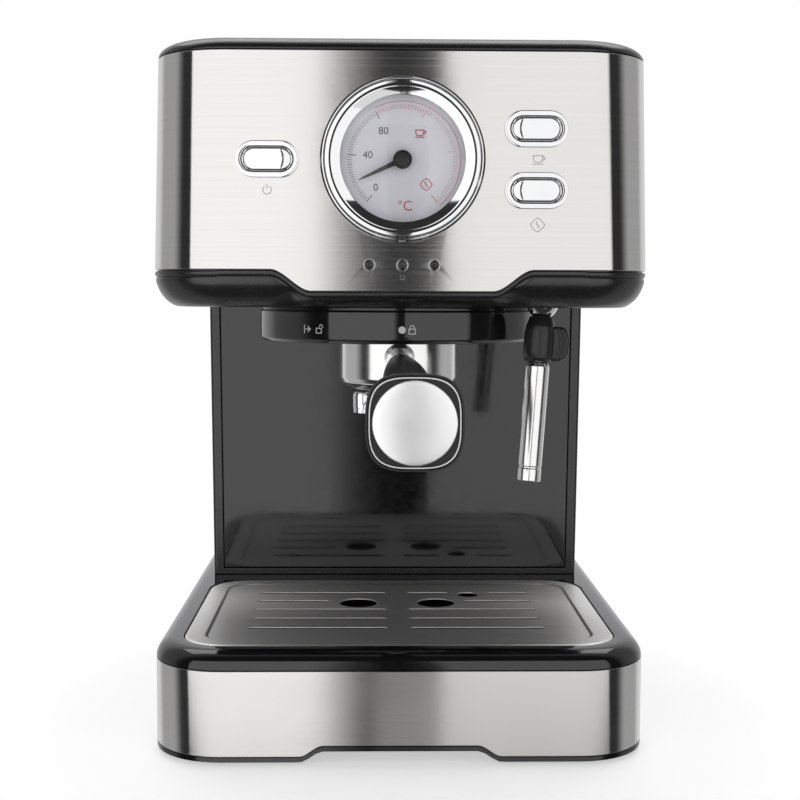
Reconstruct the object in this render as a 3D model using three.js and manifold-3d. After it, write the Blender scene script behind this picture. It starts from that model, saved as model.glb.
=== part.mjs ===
// A small pump espresso machine: base with drip tray, column, head with gauge and buttons,
// group with portafilter, steam wand, rear water tank, and the pump and boiler inside.
// Millimetres, +Z up, +X to the right of the user, +Y away from the user.
// Inside the group, y = 0 is the machine's front plane and x = 0 its middle plane.
import * as THREE from 'three';
import { mergeVertices } from 'three/addons/utils/BufferGeometryUtils.js';
import Module from 'manifold-3d';

const wasm = await Module();
wasm.setup();

// ---------- driving dimensions ----------
const GAP = 0.3; // clearance between neighbouring pieces
const SKIN = 1.0; // sheet steel of the band and the fascia
const HALF_WIDTH = 107.5; // base
const DEPTH = 284; // base, front to back
const FRONT_RADIUS = 31; // base, front corners in plan
const REAR_RADIUS = 18;

const FOOT_HEIGHT = 2;
const BAND_LOW = 4;
const BAND_HIGH = 41.5;
const BASE_TOP = 49.3;
const RIM_RADIUS = 8; // rounded edge of the base's top
const BAND_END = 262; // the steel band stops here at the sides
const ARCH_RISE = 4.7; // finger recess under the front edge
const ARCH_FLAT = 33;
const ARCH_FOOT = 43;
const ARCH_DEPTH = 22;

const PLATE = { halfWidth: 95.2, front: 12.6, back: 144.7, radius: 19.5, low: 47.6, high: 49.0 };
const TRAY = { halfWidth: 90.6, front: 17.1, back: 140.4, radius: 7.5, low: 12.3, high: 45.5 };
const POCKET_GAP = 0.5; // room round the tray in the base
const HOLLOW = { halfWidth: 96, front: 150, back: 274, radius: 10, high: 44 }; // under column and tank
const UNDERSIDE = { halfWidth: 101, front: 26, back: 277, radius: 12, high: 4.5 }; // for the base plate
const FLANGE_TOP = 47.3;
const WALL = 2.2;

const COLUMN = {
  lowHalf: 97.4,
  highHalf: 98.4,
  back: 212,
  low: 49.6,
  high: 194.3,
  frontLow: 159.8,
  frontHigh: 155.8,
};
const DUCT = { halfWidth: 91, front: 166 }; // the room behind the column's front wall
const PANEL = { edge: 5.6, low: 53, thick: 2.2 }; // edge: the frame beside the panel
const COVER_THICK = 2.4;

const HEAD = { low: 194.6, seam: 210, rim: 299, top: 299.3, back: 212, lowHalf: 106.6, topHalf: 104.2 };
const HEAD_RADIUS = 32.4;
const HEAD_REAR_RADIUS = 19;
const SKIRT_INSET = 9;
const FASCIA_END = 200;
const TONGUE = { low: 201.4, half: 37.7, footHalf: 54.7 };
const HEAD_FLOOR = 206;
const HEAD_WALL = 4;
const LID_TOP = 305.7;
const LID_EDGE = { across: 12, tall: 6.1 };
const DECK = { inset: 15, low: 303.4, gap: 0.3, thick: 1.2 };

const GROUP_Y = 80; // centre line of the brewing group
const SHROUD_RADIUS = 65;
const SHROUD_LOW = 178.8;
const UNLOCK = 41; // degrees from locked to the entry notches
const EAR_HALF_ANGLE = 16;
const BODY_RADIUS = 28;
const BODY_LOW = 155.8;
const CUP_BORE = 25.7; // inside the portafilter's body, round the basket
const CUP_FLOOR = 159.6;
const RAMP = { low: 183, inner: 31.5, outer: 37.3 }; // the group's ledge that holds the ears
const EAR = { reach: 36.4, low: 184, high: 187.4 };
const NOZZLE_X = 17;
const NOZZLE_LOW = 144;
const SPOUT_Z = 150.5;

const HANDLE = { front: -85, back: 18, endX: 2.9, endZ: 154.9, neckZ: 168.6, half: 18.2, neckHalf: 7.6 };
const HANDLE_MIDDLE = { y: -30, half: 12 };

const GAUGE = { z: 255.5, bezel: 34, proud: 4, barrel: 30.5, spindle: 1.6, back: 18 };
const NEEDLE = { tipX: -18.1, tipZ: -8.4, tail: 3 };
const LAMPS = { z: 212.2, radius: 1.9, xs: [-13.6, 0, 13.2] };
const BUTTONS = {
  power: { x: -55.5, z: 255.2 },
  coffee: { x: 54.8, z: 268.0 },
  steam: { x: 55.1, z: 242.9 },
};
const BUTTON = { halfLength: 10.5, halfHeight: 5.15, proud: 2.2, back: 8 };
const BUTTON_RING = { halfLength: 13, halfHeight: 7.5, proud: 1.2, flange: 1.5 };
const BOARD = { front: 27, thick: 1.6, halfWidth: 72, low: 226, high: 288 };

const BALL = { x: 62, y: 31, z: 196.5, radius: 7 };
const WAND_FOOT = { x: 55.8, y: 24, z: 119.2 };
const SLEEVE_LENGTH = 52;
const SLEEVE_RADIUS = 5.25;

const KNOB = { y: 155, z: 255, radius: 18, inner: 107.6, outer: 125.6, hole: 4.5 };
const VALVE = { inner: 70, outer: 97 };
const SPINDLE = { seat: 80, end: 118, radius: 3.5 };

const TANK = { halfWidth: 92, front: 213, back: 282, low: 49.6, high: 299 };
const TANK_RADIUS = 16; // rear corners
const TANK_FRONT_RADIUS = 6;
const TANK_LID_TOP = 306;
const KNUCKLE = 3.4; // outside radius of the lid's hinge
const TANK_PORT = { x: 0, y: 248 };

const PUMP = { x: -40, y: 187.5, radius: 18.5, inlet: 66, low: 80, high: 150, outlet: 162 };
const BOILER = { radius: 39, wall: 5, low: 212.3, seam: 236 };

// ---------- materials: colour, roughness, metalness ----------
const blackPlastic = [0x161618, 0.42, 0];
const glossPlastic = [0x0d0d0f, 0.12, 0];
const brushedSteel = [0xc9c8c5, 0.34, 1];
const chrome = [0xe8e9ea, 0.08, 1];
const aluminium = [0xb4b6b8, 0.45, 1];
const brass = [0xb8974f, 0.35, 1];
const rubber = [0x1d1d1e, 0.85, 0];
const paleDial = [0xe4e4ec, 0.5, 0];
const clearGlass = [0xf2f6f8, 0.05, 0];
const smokedPlastic = [0x55595e, 0.15, 0];
const greenBoard = [0x2c5a3a, 0.6, 0];
const redPlastic = [0xb3261e, 0.4, 0];
const siliconeHose = [0xd8d8d2, 0.6, 0];

// ---------- helpers ----------
const machine = new THREE.Group();

// A closed three.js geometry as a manifold solid.
function solid(geometry) {
  const bare = geometry.index ? geometry.toNonIndexed() : geometry.clone();
  bare.deleteAttribute('normal');
  bare.deleteAttribute('uv');
  const merged = mergeVertices(bare, 1e-4);
  const corners = merged.index.array;
  const faces = [];
  for (let i = 0; i < corners.length; i += 3) {
    const [a, b, c] = corners.slice(i, i + 3);
    if (a !== b && b !== c && c !== a) faces.push(a, b, c);
  }
  const vertProperties = merged.attributes.position.array;
  const triVerts = new Uint32Array(faces);
  return new wasm.Manifold(new wasm.Mesh({ numProp: 3, vertProperties, triVerts }));
}

// Adds a manifold solid to the machine as a named mesh and returns the mesh.
function place(name, body, [color, roughness, metalness]) {
  const { vertProperties, triVerts } = body.getMesh();
  const geometry = new THREE.BufferGeometry();
  geometry.setAttribute('position', new THREE.BufferAttribute(vertProperties, 3));
  geometry.setIndex(new THREE.BufferAttribute(triVerts, 1));
  geometry.computeVertexNormals();
  const material = new THREE.MeshStandardMaterial({ color, roughness, metalness });
  const mesh = new THREE.Mesh(geometry, material);
  mesh.name = name;
  machine.add(mesh);
  return mesh;
}

// Outline in plan with its own radius at the front and the rear corners.
function plan(halfWidth, front, back, frontRadius, rearRadius = frontRadius) {
  const shape = new THREE.Shape();
  const quarter = Math.PI / 2;
  const x = halfWidth;
  shape.absarc(-x + frontRadius, front + frontRadius, frontRadius, 2 * quarter, 3 * quarter);
  shape.absarc(x - frontRadius, front + frontRadius, frontRadius, 3 * quarter, 4 * quarter);
  shape.absarc(x - rearRadius, back - rearRadius, rearRadius, 0, quarter);
  shape.absarc(-x + rearRadius, back - rearRadius, rearRadius, quarter, 2 * quarter);
  shape.closePath();
  return shape;
}

// A rectangle between two corners of the drawing plane.
function rectangle(left, low, right, high) {
  const corners = [[left, low], [right, low], [right, high], [left, high]];
  return new THREE.Shape(corners.map(([x, y]) => new THREE.Vector2(x, y)));
}

// A slot with round ends, lying along the first axis of the drawing plane.
function stadium(x, y, halfLength, halfHeight) {
  const shape = new THREE.Shape();
  const reach = halfLength - halfHeight;
  shape.absarc(x + reach, y, halfHeight, -Math.PI / 2, Math.PI / 2);
  shape.absarc(x - reach, y, halfHeight, Math.PI / 2, 1.5 * Math.PI);
  shape.closePath();
  return shape;
}

function disc(x, y, radius) {
  return new THREE.Shape().absarc(x, y, radius, 0, 2 * Math.PI);
}

// Extrusions of a shape along each axis, between two places on it.
function alongZ(shape, low, high, curveSegments = 3) {
  const depth = high - low;
  const geometry = new THREE.ExtrudeGeometry(shape, { depth, bevelEnabled: false, curveSegments });
  return solid(geometry.translate(0, 0, low));
}

function alongY(shape, front, back, curveSegments = 8) {
  const depth = back - front;
  const geometry = new THREE.ExtrudeGeometry(shape, { depth, bevelEnabled: false, curveSegments });
  return solid(geometry.rotateX(Math.PI / 2).translate(0, back, 0));
}

function alongX(shape, left, right, curveSegments = 6) {
  const depth = right - left;
  const geometry = new THREE.ExtrudeGeometry(shape, { depth, bevelEnabled: false, curveSegments });
  const axes = new THREE.Matrix4().makeBasis(
    new THREE.Vector3(0, 1, 0),
    new THREE.Vector3(0, 0, 1),
    new THREE.Vector3(1, 0, 0),
  );
  return solid(geometry.applyMatrix4(axes).translate(left, 0, 0));
}

// A turned piece round a vertical axis. The profile [radius, height] runs anticlockwise.
function turned(profile, x, y, segments = 20) {
  return solid(latheUpright(profile, segments).translate(x, y, 0));
}

function latheUpright(profile, segments) {
  const points = [...profile, profile[0]].map(([r, z]) => new THREE.Vector2(r, z));
  return new THREE.LatheGeometry(points, segments).rotateX(Math.PI / 2);
}

// The same round an axis that points to the front: heights count towards the user.
function turnedToFront(profile, x, z, segments = 28) {
  return solid(latheUpright(profile, segments).rotateX(Math.PI / 2).translate(x, 0, z));
}

// The same round an axis that points to the right.
function turnedToRight(profile, y, z, segments = 16) {
  return solid(latheUpright(profile, segments).rotateY(Math.PI / 2).translate(0, y, z));
}

// A solid through rings of equal point count.
// Each ring is convex and runs anticlockwise when seen from the last ring's side.
function loft(rings) {
  const count = rings[0].length;
  const positions = rings.flat().flatMap((point) => point.toArray());
  const index = [];
  for (let r = 0; r + 1 < rings.length; r += 1) {
    for (let i = 0; i < count; i += 1) {
      const a = r * count + i;
      const b = r * count + ((i + 1) % count);
      index.push(a, b, b + count, a, b + count, a + count);
    }
  }
  const last = (rings.length - 1) * count;
  for (let i = 1; i + 1 < count; i += 1) {
    index.push(0, i + 1, i, last, last + i, last + i + 1);
  }
  const geometry = new THREE.BufferGeometry();
  geometry.setAttribute('position', new THREE.Float32BufferAttribute(positions, 3));
  geometry.setIndex(index);
  return solid(geometry);
}

// A loft of plan outlines: outlineAt(z, inset) at each [z, inset] level.
function stack(outlineAt, levels, curveSegments = 3) {
  return loft(levels.map(([z, inset]) => {
    const points = outlineAt(z, inset).getPoints(curveSegments);
    if (points[0].distanceTo(points.at(-1)) < 1e-6) points.pop();
    return points.map((point) => new THREE.Vector3(point.x, point.y, z));
  }));
}

// Levels of a rounded upper edge that ends at the given height.
function roundedEdge(top, across, tall = across, steps = 3) {
  return Array.from({ length: steps + 1 }, (_, i) => {
    const turn = (i / steps) * (Math.PI / 2);
    return [top - tall * (1 - Math.sin(turn)), across * (1 - Math.cos(turn))];
  });
}

// A round bar along a smooth curve through the given points.
function bar(points, radius, steps, sides = 6) {
  const extrudePath = new THREE.CatmullRomCurve3(points.map((point) => new THREE.Vector3(...point)));
  const section = new THREE.Shape(
    Array.from({ length: sides }, (_, i) => {
      const turn = (i / sides) * 2 * Math.PI;
      return new THREE.Vector2(radius * Math.cos(turn), radius * Math.sin(turn));
    }),
  );
  return solid(new THREE.ExtrudeGeometry(section, { steps, extrudePath, bevelEnabled: false }));
}

function cylinder(x, y, low, high, radius, segments = 20) {
  return turned([[0, low], [radius, low], [radius, high], [0, high]], x, y, segments);
}

// ---------- base ----------
const baseOutline = (z, inset) =>
  plan(HALF_WIDTH - inset, inset, DEPTH - inset, FRONT_RADIUS - inset, REAR_RADIUS - inset);

// Outlines of the tray and of its plate, grown by a margin.
const grown = ({ halfWidth, front, back, radius }, margin) =>
  plan(halfWidth + margin, front - margin, back + margin, radius + margin);

// The space under the arched front edge, lifted by an offset.
function underArch(lift, depth) {
  const steps = 4;
  const below = -5;
  const curve = [];
  for (let i = 0; i <= steps; i += 1) {
    const t = i / steps;
    const rise = ARCH_RISE * 0.5 * (1 - Math.cos(Math.PI * t));
    const x = -ARCH_FOOT + (ARCH_FOOT - ARCH_FLAT) * t;
    curve.push(new THREE.Vector2(x, FOOT_HEIGHT + lift + rise));
  }
  const right = [...curve].reverse().map((point) => new THREE.Vector2(-point.x, point.y));
  const corners = [new THREE.Vector2(-ARCH_FOOT, below), new THREE.Vector2(ARCH_FOOT, below)];
  return alongY(new THREE.Shape([corners[0], ...curve, ...right, corners[1]]), -5, depth);
}

function bandSolid(outerInset, innerInset, low, high) {
  const levels = (inset) => [[low, inset], [high, inset]];
  const wide = [[low - 1, innerInset], [high + 1, innerInset]];
  const rear = alongZ(rectangle(-150, BAND_END, 150, DEPTH + 20), low - 1, high + 1);
  return stack(baseOutline, levels(outerInset)).subtract(stack(baseOutline, wide)).subtract(rear);
}

const FEET = {
  foot_front_left: [-80, 36],
  foot_front_right: [80, 36],
  foot_rear_left: [-80, 250],
  foot_rear_right: [80, 250],
};
const FOOT = { radius: 10, stem: 4.1, hole: 4.4, flange: 1.9, high: 7.5 };
const GLAND = { x: 70, z: 24, bore: 2.4, collar: 7, hole: 7.3 };

function makeBase() {
  const lip = BAND_LOW - FOOT_HEIGHT;
  let housing = stack(baseOutline, [[FOOT_HEIGHT, 0], ...roundedEdge(BASE_TOP, RIM_RADIUS)]);
  const frontOfArch = 4;
  const above = BASE_TOP + 10;
  const recess = bandSolid(-1, SKIN + GAP, BAND_LOW, BAND_HIGH).subtract(underArch(lip, frontOfArch));
  housing = housing.subtract(recess).subtract(underArch(0, ARCH_DEPTH));
  housing = housing.subtract(alongZ(grown(TRAY, POCKET_GAP), TRAY.low - GAP, above));
  housing = housing.subtract(alongZ(grown(PLATE, GAP), TRAY.high - GAP, above));
  // The rear half is hollow from below, under the column and the tank.
  housing = housing.subtract(alongZ(grown(HOLLOW, 0), -1, HOLLOW.high));
  housing = housing.subtract(alongZ(grown(UNDERSIDE, 0), -1, UNDERSIDE.high));
  for (const [x, y] of Object.values(FEET)) {
    housing = housing.subtract(cylinder(x, y, 0, 8, FOOT.hole, 10));
  }
  housing = housing.subtract(cylinder(TANK_PORT.x, TANK_PORT.y, 40, above, 12.5, 14));
  housing = housing.subtract(alongZ(rectangle(-60, 172, 60, 203), 40, above));
  housing = housing.subtract(alongY(disc(GLAND.x, GLAND.z, GLAND.hole), 260, DEPTH + 16));
  place('base_housing', housing, blackPlastic);

  const band = bandSolid(0, SKIN, BAND_LOW + GAP, BAND_HIGH - GAP);
  place('base_band', band.subtract(underArch(lip + GAP, frontOfArch)), brushedSteel);

  let plate = alongZ(grown(UNDERSIDE, -GAP), FOOT.flange + GAP, UNDERSIDE.high - GAP);
  for (const [x, y] of Object.values(FEET)) plate = plate.subtract(cylinder(x, y, 0, 8, FOOT.hole, 10));
  place('base_plate', plate, blackPlastic);

  const { radius, stem, flange, high } = FOOT;
  const sole = [[0, 0], [radius - 0.8, 0], [radius, 0.6], [radius, flange]];
  const foot = [...sole, [stem, flange], [stem, high], [0, high]];
  for (const [name, [x, y]] of Object.entries(FEET)) place(name, turned(foot, x, y, 12), rubber);

  const { x, z, bore, collar } = GLAND;
  const back = DEPTH + 4;
  const gland = [[bore, -back], [5.5, -back], [collar, -274.5], [collar, -272.5], [5.5, -266], [bore, -266]];
  place('cord_gland', turnedToFront(gland, x, z, 14), rubber);
}

// ---------- drip tray ----------
const SLOT_ROWS = [
  [45, [[-68.8, -5.5], [5.5, 66.8]]],
  [63, [[-68.8, -5.5], [5.5, 66.8]]],
  [81, [[-68.8, -5.5], [5.5, 66.8]]],
  [99, [[-68.8, -33.5], [33.5, 66.8]]],
  [117, [[-68.8, -5.5], [5.4, 26], [47, 66.8]]],
];
const SLOT_HALF = 1.5;
const DRAIN = { x: 19, y: 95, radius: 9.2 };
const FLOAT = { x: 36, y: 113, hole: 5.3, body: 9, stem: 4.2, top: 45.5 };

function makeTray() {
  let tray = alongZ(grown(TRAY, 0), TRAY.low, TRAY.high + 0.1);
  tray = tray.add(alongZ(grown(PLATE, 0), TRAY.high, FLANGE_TOP));
  tray = tray.subtract(alongZ(grown(TRAY, -WALL), TRAY.low + WALL, 60));
  place('drip_tray', tray, blackPlastic);

  let plate = alongZ(grown(PLATE, 0), PLATE.low, PLATE.high);
  for (const [y, spans] of SLOT_ROWS) {
    for (const [left, right] of spans) {
      const slot = stadium((left + right) / 2, y, (right - left) / 2, SLOT_HALF);
      plate = plate.subtract(alongZ(slot, 40, 60, 2));
    }
  }
  for (const side of [-1, 1]) {
    plate = plate.subtract(alongZ(disc(side * DRAIN.x, DRAIN.y, DRAIN.radius), 40, 60, 9));
  }
  plate = plate.subtract(alongZ(disc(FLOAT.x, FLOAT.y, FLOAT.hole), 40, 60, 7));
  place('drip_plate', plate, brushedSteel);

  const { body, stem, top } = FLOAT;
  const low = TRAY.low + WALL + GAP;
  const profile = [[0, low], [body, low], [body, 26], [stem, 28], [stem, top - 1.5], [3, top], [0, top]];
  place('tray_float', turned(profile, FLOAT.x, FLOAT.y, 14), redPlastic);
}

// ---------- column ----------
// The column's front leans: its place at a given height, moved back by an offset.
function frontAt(z, offset) {
  const lean = (COLUMN.frontLow - COLUMN.frontHigh) / (COLUMN.high - COLUMN.low);
  return COLUMN.frontLow - (z - COLUMN.low) * lean + offset;
}

// A four-sided block of the column between two heights; its sides narrow downwards.
function columnBlock(inset, low, high, frontAtZ, backAtZ) {
  const { lowHalf, highHalf } = COLUMN;
  return loft([low, high].map((z) => {
    const t = (z - COLUMN.low) / (COLUMN.high - COLUMN.low);
    const half = lowHalf + (highHalf - lowHalf) * t - inset;
    const front = frontAtZ(z);
    const back = backAtZ(z);
    const corners = [[-half, front], [half, front], [half, back], [-half, back]];
    return corners.map(([x, y]) => new THREE.Vector3(x, y, z));
  }));
}

function makeColumn() {
  const { back, low, high } = COLUMN;
  const { edge, thick } = PANEL;
  const leaning = (offset) => (z) => frontAt(z, offset);
  const upright = (y) => () => y;
  const seat = columnBlock(edge - GAP, PANEL.low - GAP, high + 5, leaning(-5), leaning(thick + GAP));
  const duct = alongZ(rectangle(-DUCT.halfWidth, DUCT.front, DUCT.halfWidth, back + 20), low - 5, high + 5);
  const shell = columnBlock(0, low, high, leaning(0), upright(back - COVER_THICK - GAP));
  place('column_shell', shell.subtract(seat).subtract(duct), blackPlastic);
  const panel = columnBlock(edge, PANEL.low, high, leaning(0), leaning(thick));
  place('column_panel', panel, glossPlastic);
  const cover = columnBlock(0, low, high, upright(back - COVER_THICK), upright(back));
  place('rear_cover', cover, blackPlastic);
}

// ---------- head ----------
function headOutline(z, inset) {
  const taper = (HEAD.lowHalf - HEAD.topHalf) / (HEAD.top - HEAD.seam);
  const half = HEAD.lowHalf - Math.max(0, z - HEAD.seam) * taper;
  return plan(half - inset, inset, HEAD.back - inset, HEAD_RADIUS - inset, HEAD_REAR_RADIUS - inset);
}

// The fascia's centre tongue in front view, grown by a margin.
function tongueShape(margin) {
  const { low, half, footHalf } = TONGUE;
  const steps = 6;
  const top = HEAD.seam + 1;
  const left = [];
  for (let i = 0; i <= steps; i += 1) {
    const t = i / steps;
    const drop = (HEAD.seam + GAP - low) * 0.5 * (1 - Math.cos(Math.PI * t));
    const x = -footHalf - margin + (footHalf - half) * t;
    left.push(new THREE.Vector2(x, HEAD.seam + GAP - margin - drop));
  }
  const right = [...left].reverse().map((point) => new THREE.Vector2(-point.x, point.y));
  const corner = new THREE.Vector2(left[0].x, top);
  return new THREE.Shape([corner, ...left, ...right, new THREE.Vector2(-corner.x, top)]);
}

// Everything that passes through the head's front wall.
function frontOpenings(extra) {
  const front = -8;
  const back = 12;
  const through = [alongY(disc(0, GAUGE.z, GAUGE.barrel + extra), front, back, 12)];
  for (const { x, z } of Object.values(BUTTONS)) {
    const { halfLength, halfHeight, flange } = BUTTON_RING;
    const hole = stadium(x, z, halfLength - flange + extra, halfHeight - flange + extra);
    through.push(alongY(hole, front, back, 4));
  }
  for (const x of LAMPS.xs) {
    through.push(alongY(disc(x, LAMPS.z, LAMPS.radius + extra), front, back, 4));
  }
  return through.reduce((all, one) => all.add(one));
}

function makeHead() {
  const { low, seam, rim, top } = HEAD;
  const above = top + 11;
  const skirt = [[low, SKIRT_INSET], [195.8, 5.3], [198.2, 2.6], [202, 0.8], [206.5, 0], [seam, 0]];
  const straight = (from, to, inset) => stack(headOutline, [[from, inset], [to, inset]]);
  const rear = (front) => alongZ(rectangle(-150, front, 150, 260), 200, above);
  const knobHole = alongX(disc(KNOB.y, KNOB.z, KNOB.hole), 90, 120);
  let shell = stack(headOutline, skirt).add(straight(205, rim, SKIN + GAP));
  shell = shell.add(straight(seam - 1, rim, 0).intersect(rear(FASCIA_END + GAP)));
  shell = shell.subtract(alongY(tongueShape(GAP), -5, SKIN + GAP));
  shell = shell.subtract(straight(HEAD_FLOOR, above, HEAD_WALL));
  shell = shell.subtract(straight(199, HEAD_FLOOR + 1, 16));
  shell = shell.subtract(cylinder(0, GROUP_Y, 190, seam, 44.3, 28));
  shell = shell.subtract(cylinder(BALL.x, BALL.y, 190, seam, 8.3, 16));
  shell = shell.subtract(alongZ(rectangle(-85, 172, 85, 204), 190, seam));
  shell = shell.subtract(knobHole);
  // Two posts carry the circuit board.
  for (const side of [-1, 1]) {
    shell = shell.add(alongY(disc(side * 66, 284, 3), HEAD_WALL, BOARD.front - GAP, 4));
  }
  place('head_shell', shell.subtract(frontOpenings(GAP)), blackPlastic);

  let fascia = straight(seam + GAP, top, 0).subtract(straight(205, above, SKIN));
  fascia = fascia.subtract(rear(FASCIA_END)).add(alongY(tongueShape(0), 0, SKIN));
  place('fascia', fascia.subtract(frontOpenings(GAP)).subtract(knobHole), brushedSteel);

  let lid = stack(headOutline, roundedEdge(LID_TOP, LID_EDGE.across, LID_EDGE.tall));
  lid = lid.subtract(straight(298, 301.2, 5)).subtract(straight(DECK.low, above, DECK.inset));
  place('top_lid', lid, glossPlastic);

  const deckLow = DECK.low + DECK.gap;
  let deck = straight(deckLow, deckLow + DECK.thick, DECK.inset + DECK.gap);
  for (let row = 0; row < 4; row += 1) {
    for (const side of [-1, 1]) {
      deck = deck.subtract(alongZ(stadium(side * 38, 45 + row * 40, 28, 2.5), 300, above, 2));
    }
  }
  place('cup_deck', deck, brushedSteel);
}

// ---------- gauge, buttons and lamps ----------
function makeGauge() {
  const { z, bezel, proud, barrel, spindle, back } = GAUGE;
  const floor = 2.5 - back;
  const bore = barrel - 1.5;
  const cup = [[spindle, -back], [barrel, -back], [barrel, 0], [bore, 0], [bore, floor], [spindle, floor]];
  place('gauge_housing', turnedToFront(cup, 0, z), blackPlastic);
  const dial = [[spindle, -6], [bore - GAP, -6], [bore - GAP, -5], [spindle, -5]];
  place('gauge_dial', turnedToFront(dial, 0, z), paleDial);
  const outside = [[bezel, GAP], [bezel, 1.4], [32.2, 3.3], [30.2, proud], [28, 3.9]];
  const inside = [[25.6, 2.6], [25.6, 2.2], [27.3, 2.2], [27.3, GAP]];
  place('gauge_bezel', turnedToFront([...outside, ...inside], 0, z, 32), chrome);
  const lens = [[0, 0.6], [27, 0.6], [27, 1.9], [0, 1.9]];
  place('gauge_lens', turnedToFront(lens, 0, z), clearGlass);

  const tip = new THREE.Vector2(NEEDLE.tipX, NEEDLE.tipZ);
  const reach = tip.length();
  const along = tip.normalize();
  const across = new THREE.Vector2(-along.y, along.x);
  const middle = new THREE.Vector2(0, z);
  const corner = (out, side) => middle.clone().addScaledVector(along, out).addScaledVector(across, side);
  const { tail } = NEEDLE;
  const corners = [corner(-tail, -1.1), corner(reach, -0.4), corner(reach, 0.4), corner(-tail, 1.1)];
  const pointer = new THREE.Shape(corners);
  const hub = [[0, -13], [1.2, -13], [1.2, -4], [3.8, -4], [3.8, -1.2], [3, -0.4], [0, -0.4]];
  place('gauge_needle', turnedToFront(hub, 0, z, 14).add(alongY(pointer, 1.8, 2.6)), blackPlastic);
}

function makeButton(name, { x, z }) {
  const cap = alongY(stadium(x, z, BUTTON.halfLength, BUTTON.halfHeight), -BUTTON.proud, BUTTON.back, 4);
  place(name + '_button', cap, chrome);
  const { halfLength, halfHeight, proud } = BUTTON_RING;
  const flange = stadium(x, z, halfLength, halfHeight);
  const barrel = stadium(x, z, halfLength - BUTTON_RING.flange, halfHeight - BUTTON_RING.flange);
  const bore = stadium(x, z, BUTTON.halfLength + GAP, BUTTON.halfHeight + GAP);
  let ring = alongY(flange, -proud, -GAP, 4).add(alongY(barrel, -0.5, 6, 4));
  ring = ring.subtract(alongY(bore, -5, 10, 4));
  place(name + '_button_ring', ring, chrome);
}

function makeControls() {
  for (const [name, spot] of Object.entries(BUTTONS)) makeButton(name, spot);
  const back = BOARD.front + BOARD.thick;
  let board = alongY(rectangle(-BOARD.halfWidth, BOARD.low, BOARD.halfWidth, BOARD.high), BOARD.front, back);
  for (const { x, z } of Object.values(BUTTONS)) {
    board = board.add(alongY(rectangle(x - 6, z - 4, x + 6, z + 4), 12, BOARD.front + 0.5));
  }
  board = board.add(alongY(rectangle(-30, 232, -4, 250), back - 0.5, back + 9));
  place('switch_board', board, greenBoard);
  // One clear moulding carries the three lamp lenses.
  let guide = alongY(rectangle(-19, LAMPS.z - 3, 19, LAMPS.z + 3), 6, 8);
  for (const x of LAMPS.xs) guide = guide.add(alongY(disc(x, LAMPS.z, LAMPS.radius), -0.5, 7, 4));
  place('lamp_lenses', guide, clearGlass);
}

// ---------- brewing group ----------
function sector(centreAngle, halfAngle, inner, outer) {
  const middle = THREE.MathUtils.degToRad(centreAngle);
  const half = THREE.MathUtils.degToRad(halfAngle);
  const shape = new THREE.Shape();
  shape.absarc(0, GROUP_Y, outer, middle - half, middle + half);
  shape.absarc(0, GROUP_Y, inner, middle + half, middle - half, true);
  shape.closePath();
  return shape;
}

function makeGroup() {
  const shroudTop = HEAD.low - GAP;
  const outer = SHROUD_RADIUS;
  const wall = outer - 2.6;
  const floor = SHROUD_LOW + 2.6;
  const edge = [[46, SHROUD_LOW], [outer - 2, SHROUD_LOW], [outer, SHROUD_LOW + 2], [outer, shroudTop]];
  const shroud = [...edge, [wall, shroudTop], [wall, floor], [46, floor]];
  place('group_shroud', turned(shroud, 0, GROUP_Y, 32), glossPlastic);

  // The ears of the filter holder slide onto a ledge, which is open at the two entry notches.
  const bowl = [[3.3, 195.6], [RAMP.outer, 195.6], [RAMP.outer, RAMP.low], [RAMP.inner, RAMP.low]];
  const casting = [...bowl, [RAMP.inner, 179.2], [43.7, 179.2], [43.7, 212], [3.3, 212]];
  let group = turned(casting, 0, GROUP_Y, 28);
  for (const turn of [-UNLOCK, 180 - UNLOCK]) {
    const notch = sector(turn, EAR_HALF_ANGLE + 2, 30, RAMP.outer + 0.2);
    group = group.subtract(alongZ(notch, 178, RAMP.low + GAP, 2));
  }
  place('group_head', group, aluminium);
  const gasket = [[23.6, 189.7], [31, 189.7], [31, 195.3], [23.6, 195.3]];
  place('group_gasket', turned(gasket, 0, GROUP_Y), rubber);
  const screen = [[3.3, 190.3], [23.2, 190.3], [23.2, 195.3], [22.2, 195.3], [22.2, 191.3], [3.3, 191.3]];
  place('shower_screen', turned(screen, 0, GROUP_Y), brushedSteel);
  const screw = [[0, 188], [5, 188], [5, 190], [2.9, 190], [2.9, 207], [0, 207]];
  place('shower_screw', turned(screw, 0, GROUP_Y, 12), brushedSteel);

  const { radius, wall: thick, low, seam } = BOILER;
  const bore = radius - thick;
  const lower = [[0, low], [radius, low], [radius, seam], [bore, seam], [bore, 218], [0, 218]];
  place('boiler_lower', turned(lower, 0, GROUP_Y), aluminium);
  const outside = [[bore, seam + GAP], [radius, seam + GAP], [radius, 250], [30, 260], [0, 260]];
  const inside = [[0, 255], [28, 255], [bore, 248]];
  place('boiler_upper', turned([...outside, ...inside], 0, GROUP_Y), aluminium);
}

// ---------- portafilter ----------
// The grip's centre line and half size at a place along it.
function gripAt(y) {
  const { front, back, endX, endZ, neckZ, half, neckHalf } = HANDLE;
  const t = (back - y) / (back - front);
  const middle = (back - HANDLE_MIDDLE.y) / (back - front);
  const swell = t < middle
    ? neckHalf + (HANDLE_MIDDLE.half - neckHalf) * Math.sin((t / middle) * (Math.PI / 2))
    : HANDLE_MIDDLE.half + (half - HANDLE_MIDDLE.half) * ((t - middle) / (1 - middle)) ** 1.6;
  return { x: endX * t, z: neckZ + (endZ - neckZ) * t, half: swell, square: 2 + 1.2 * t };
}

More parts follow.
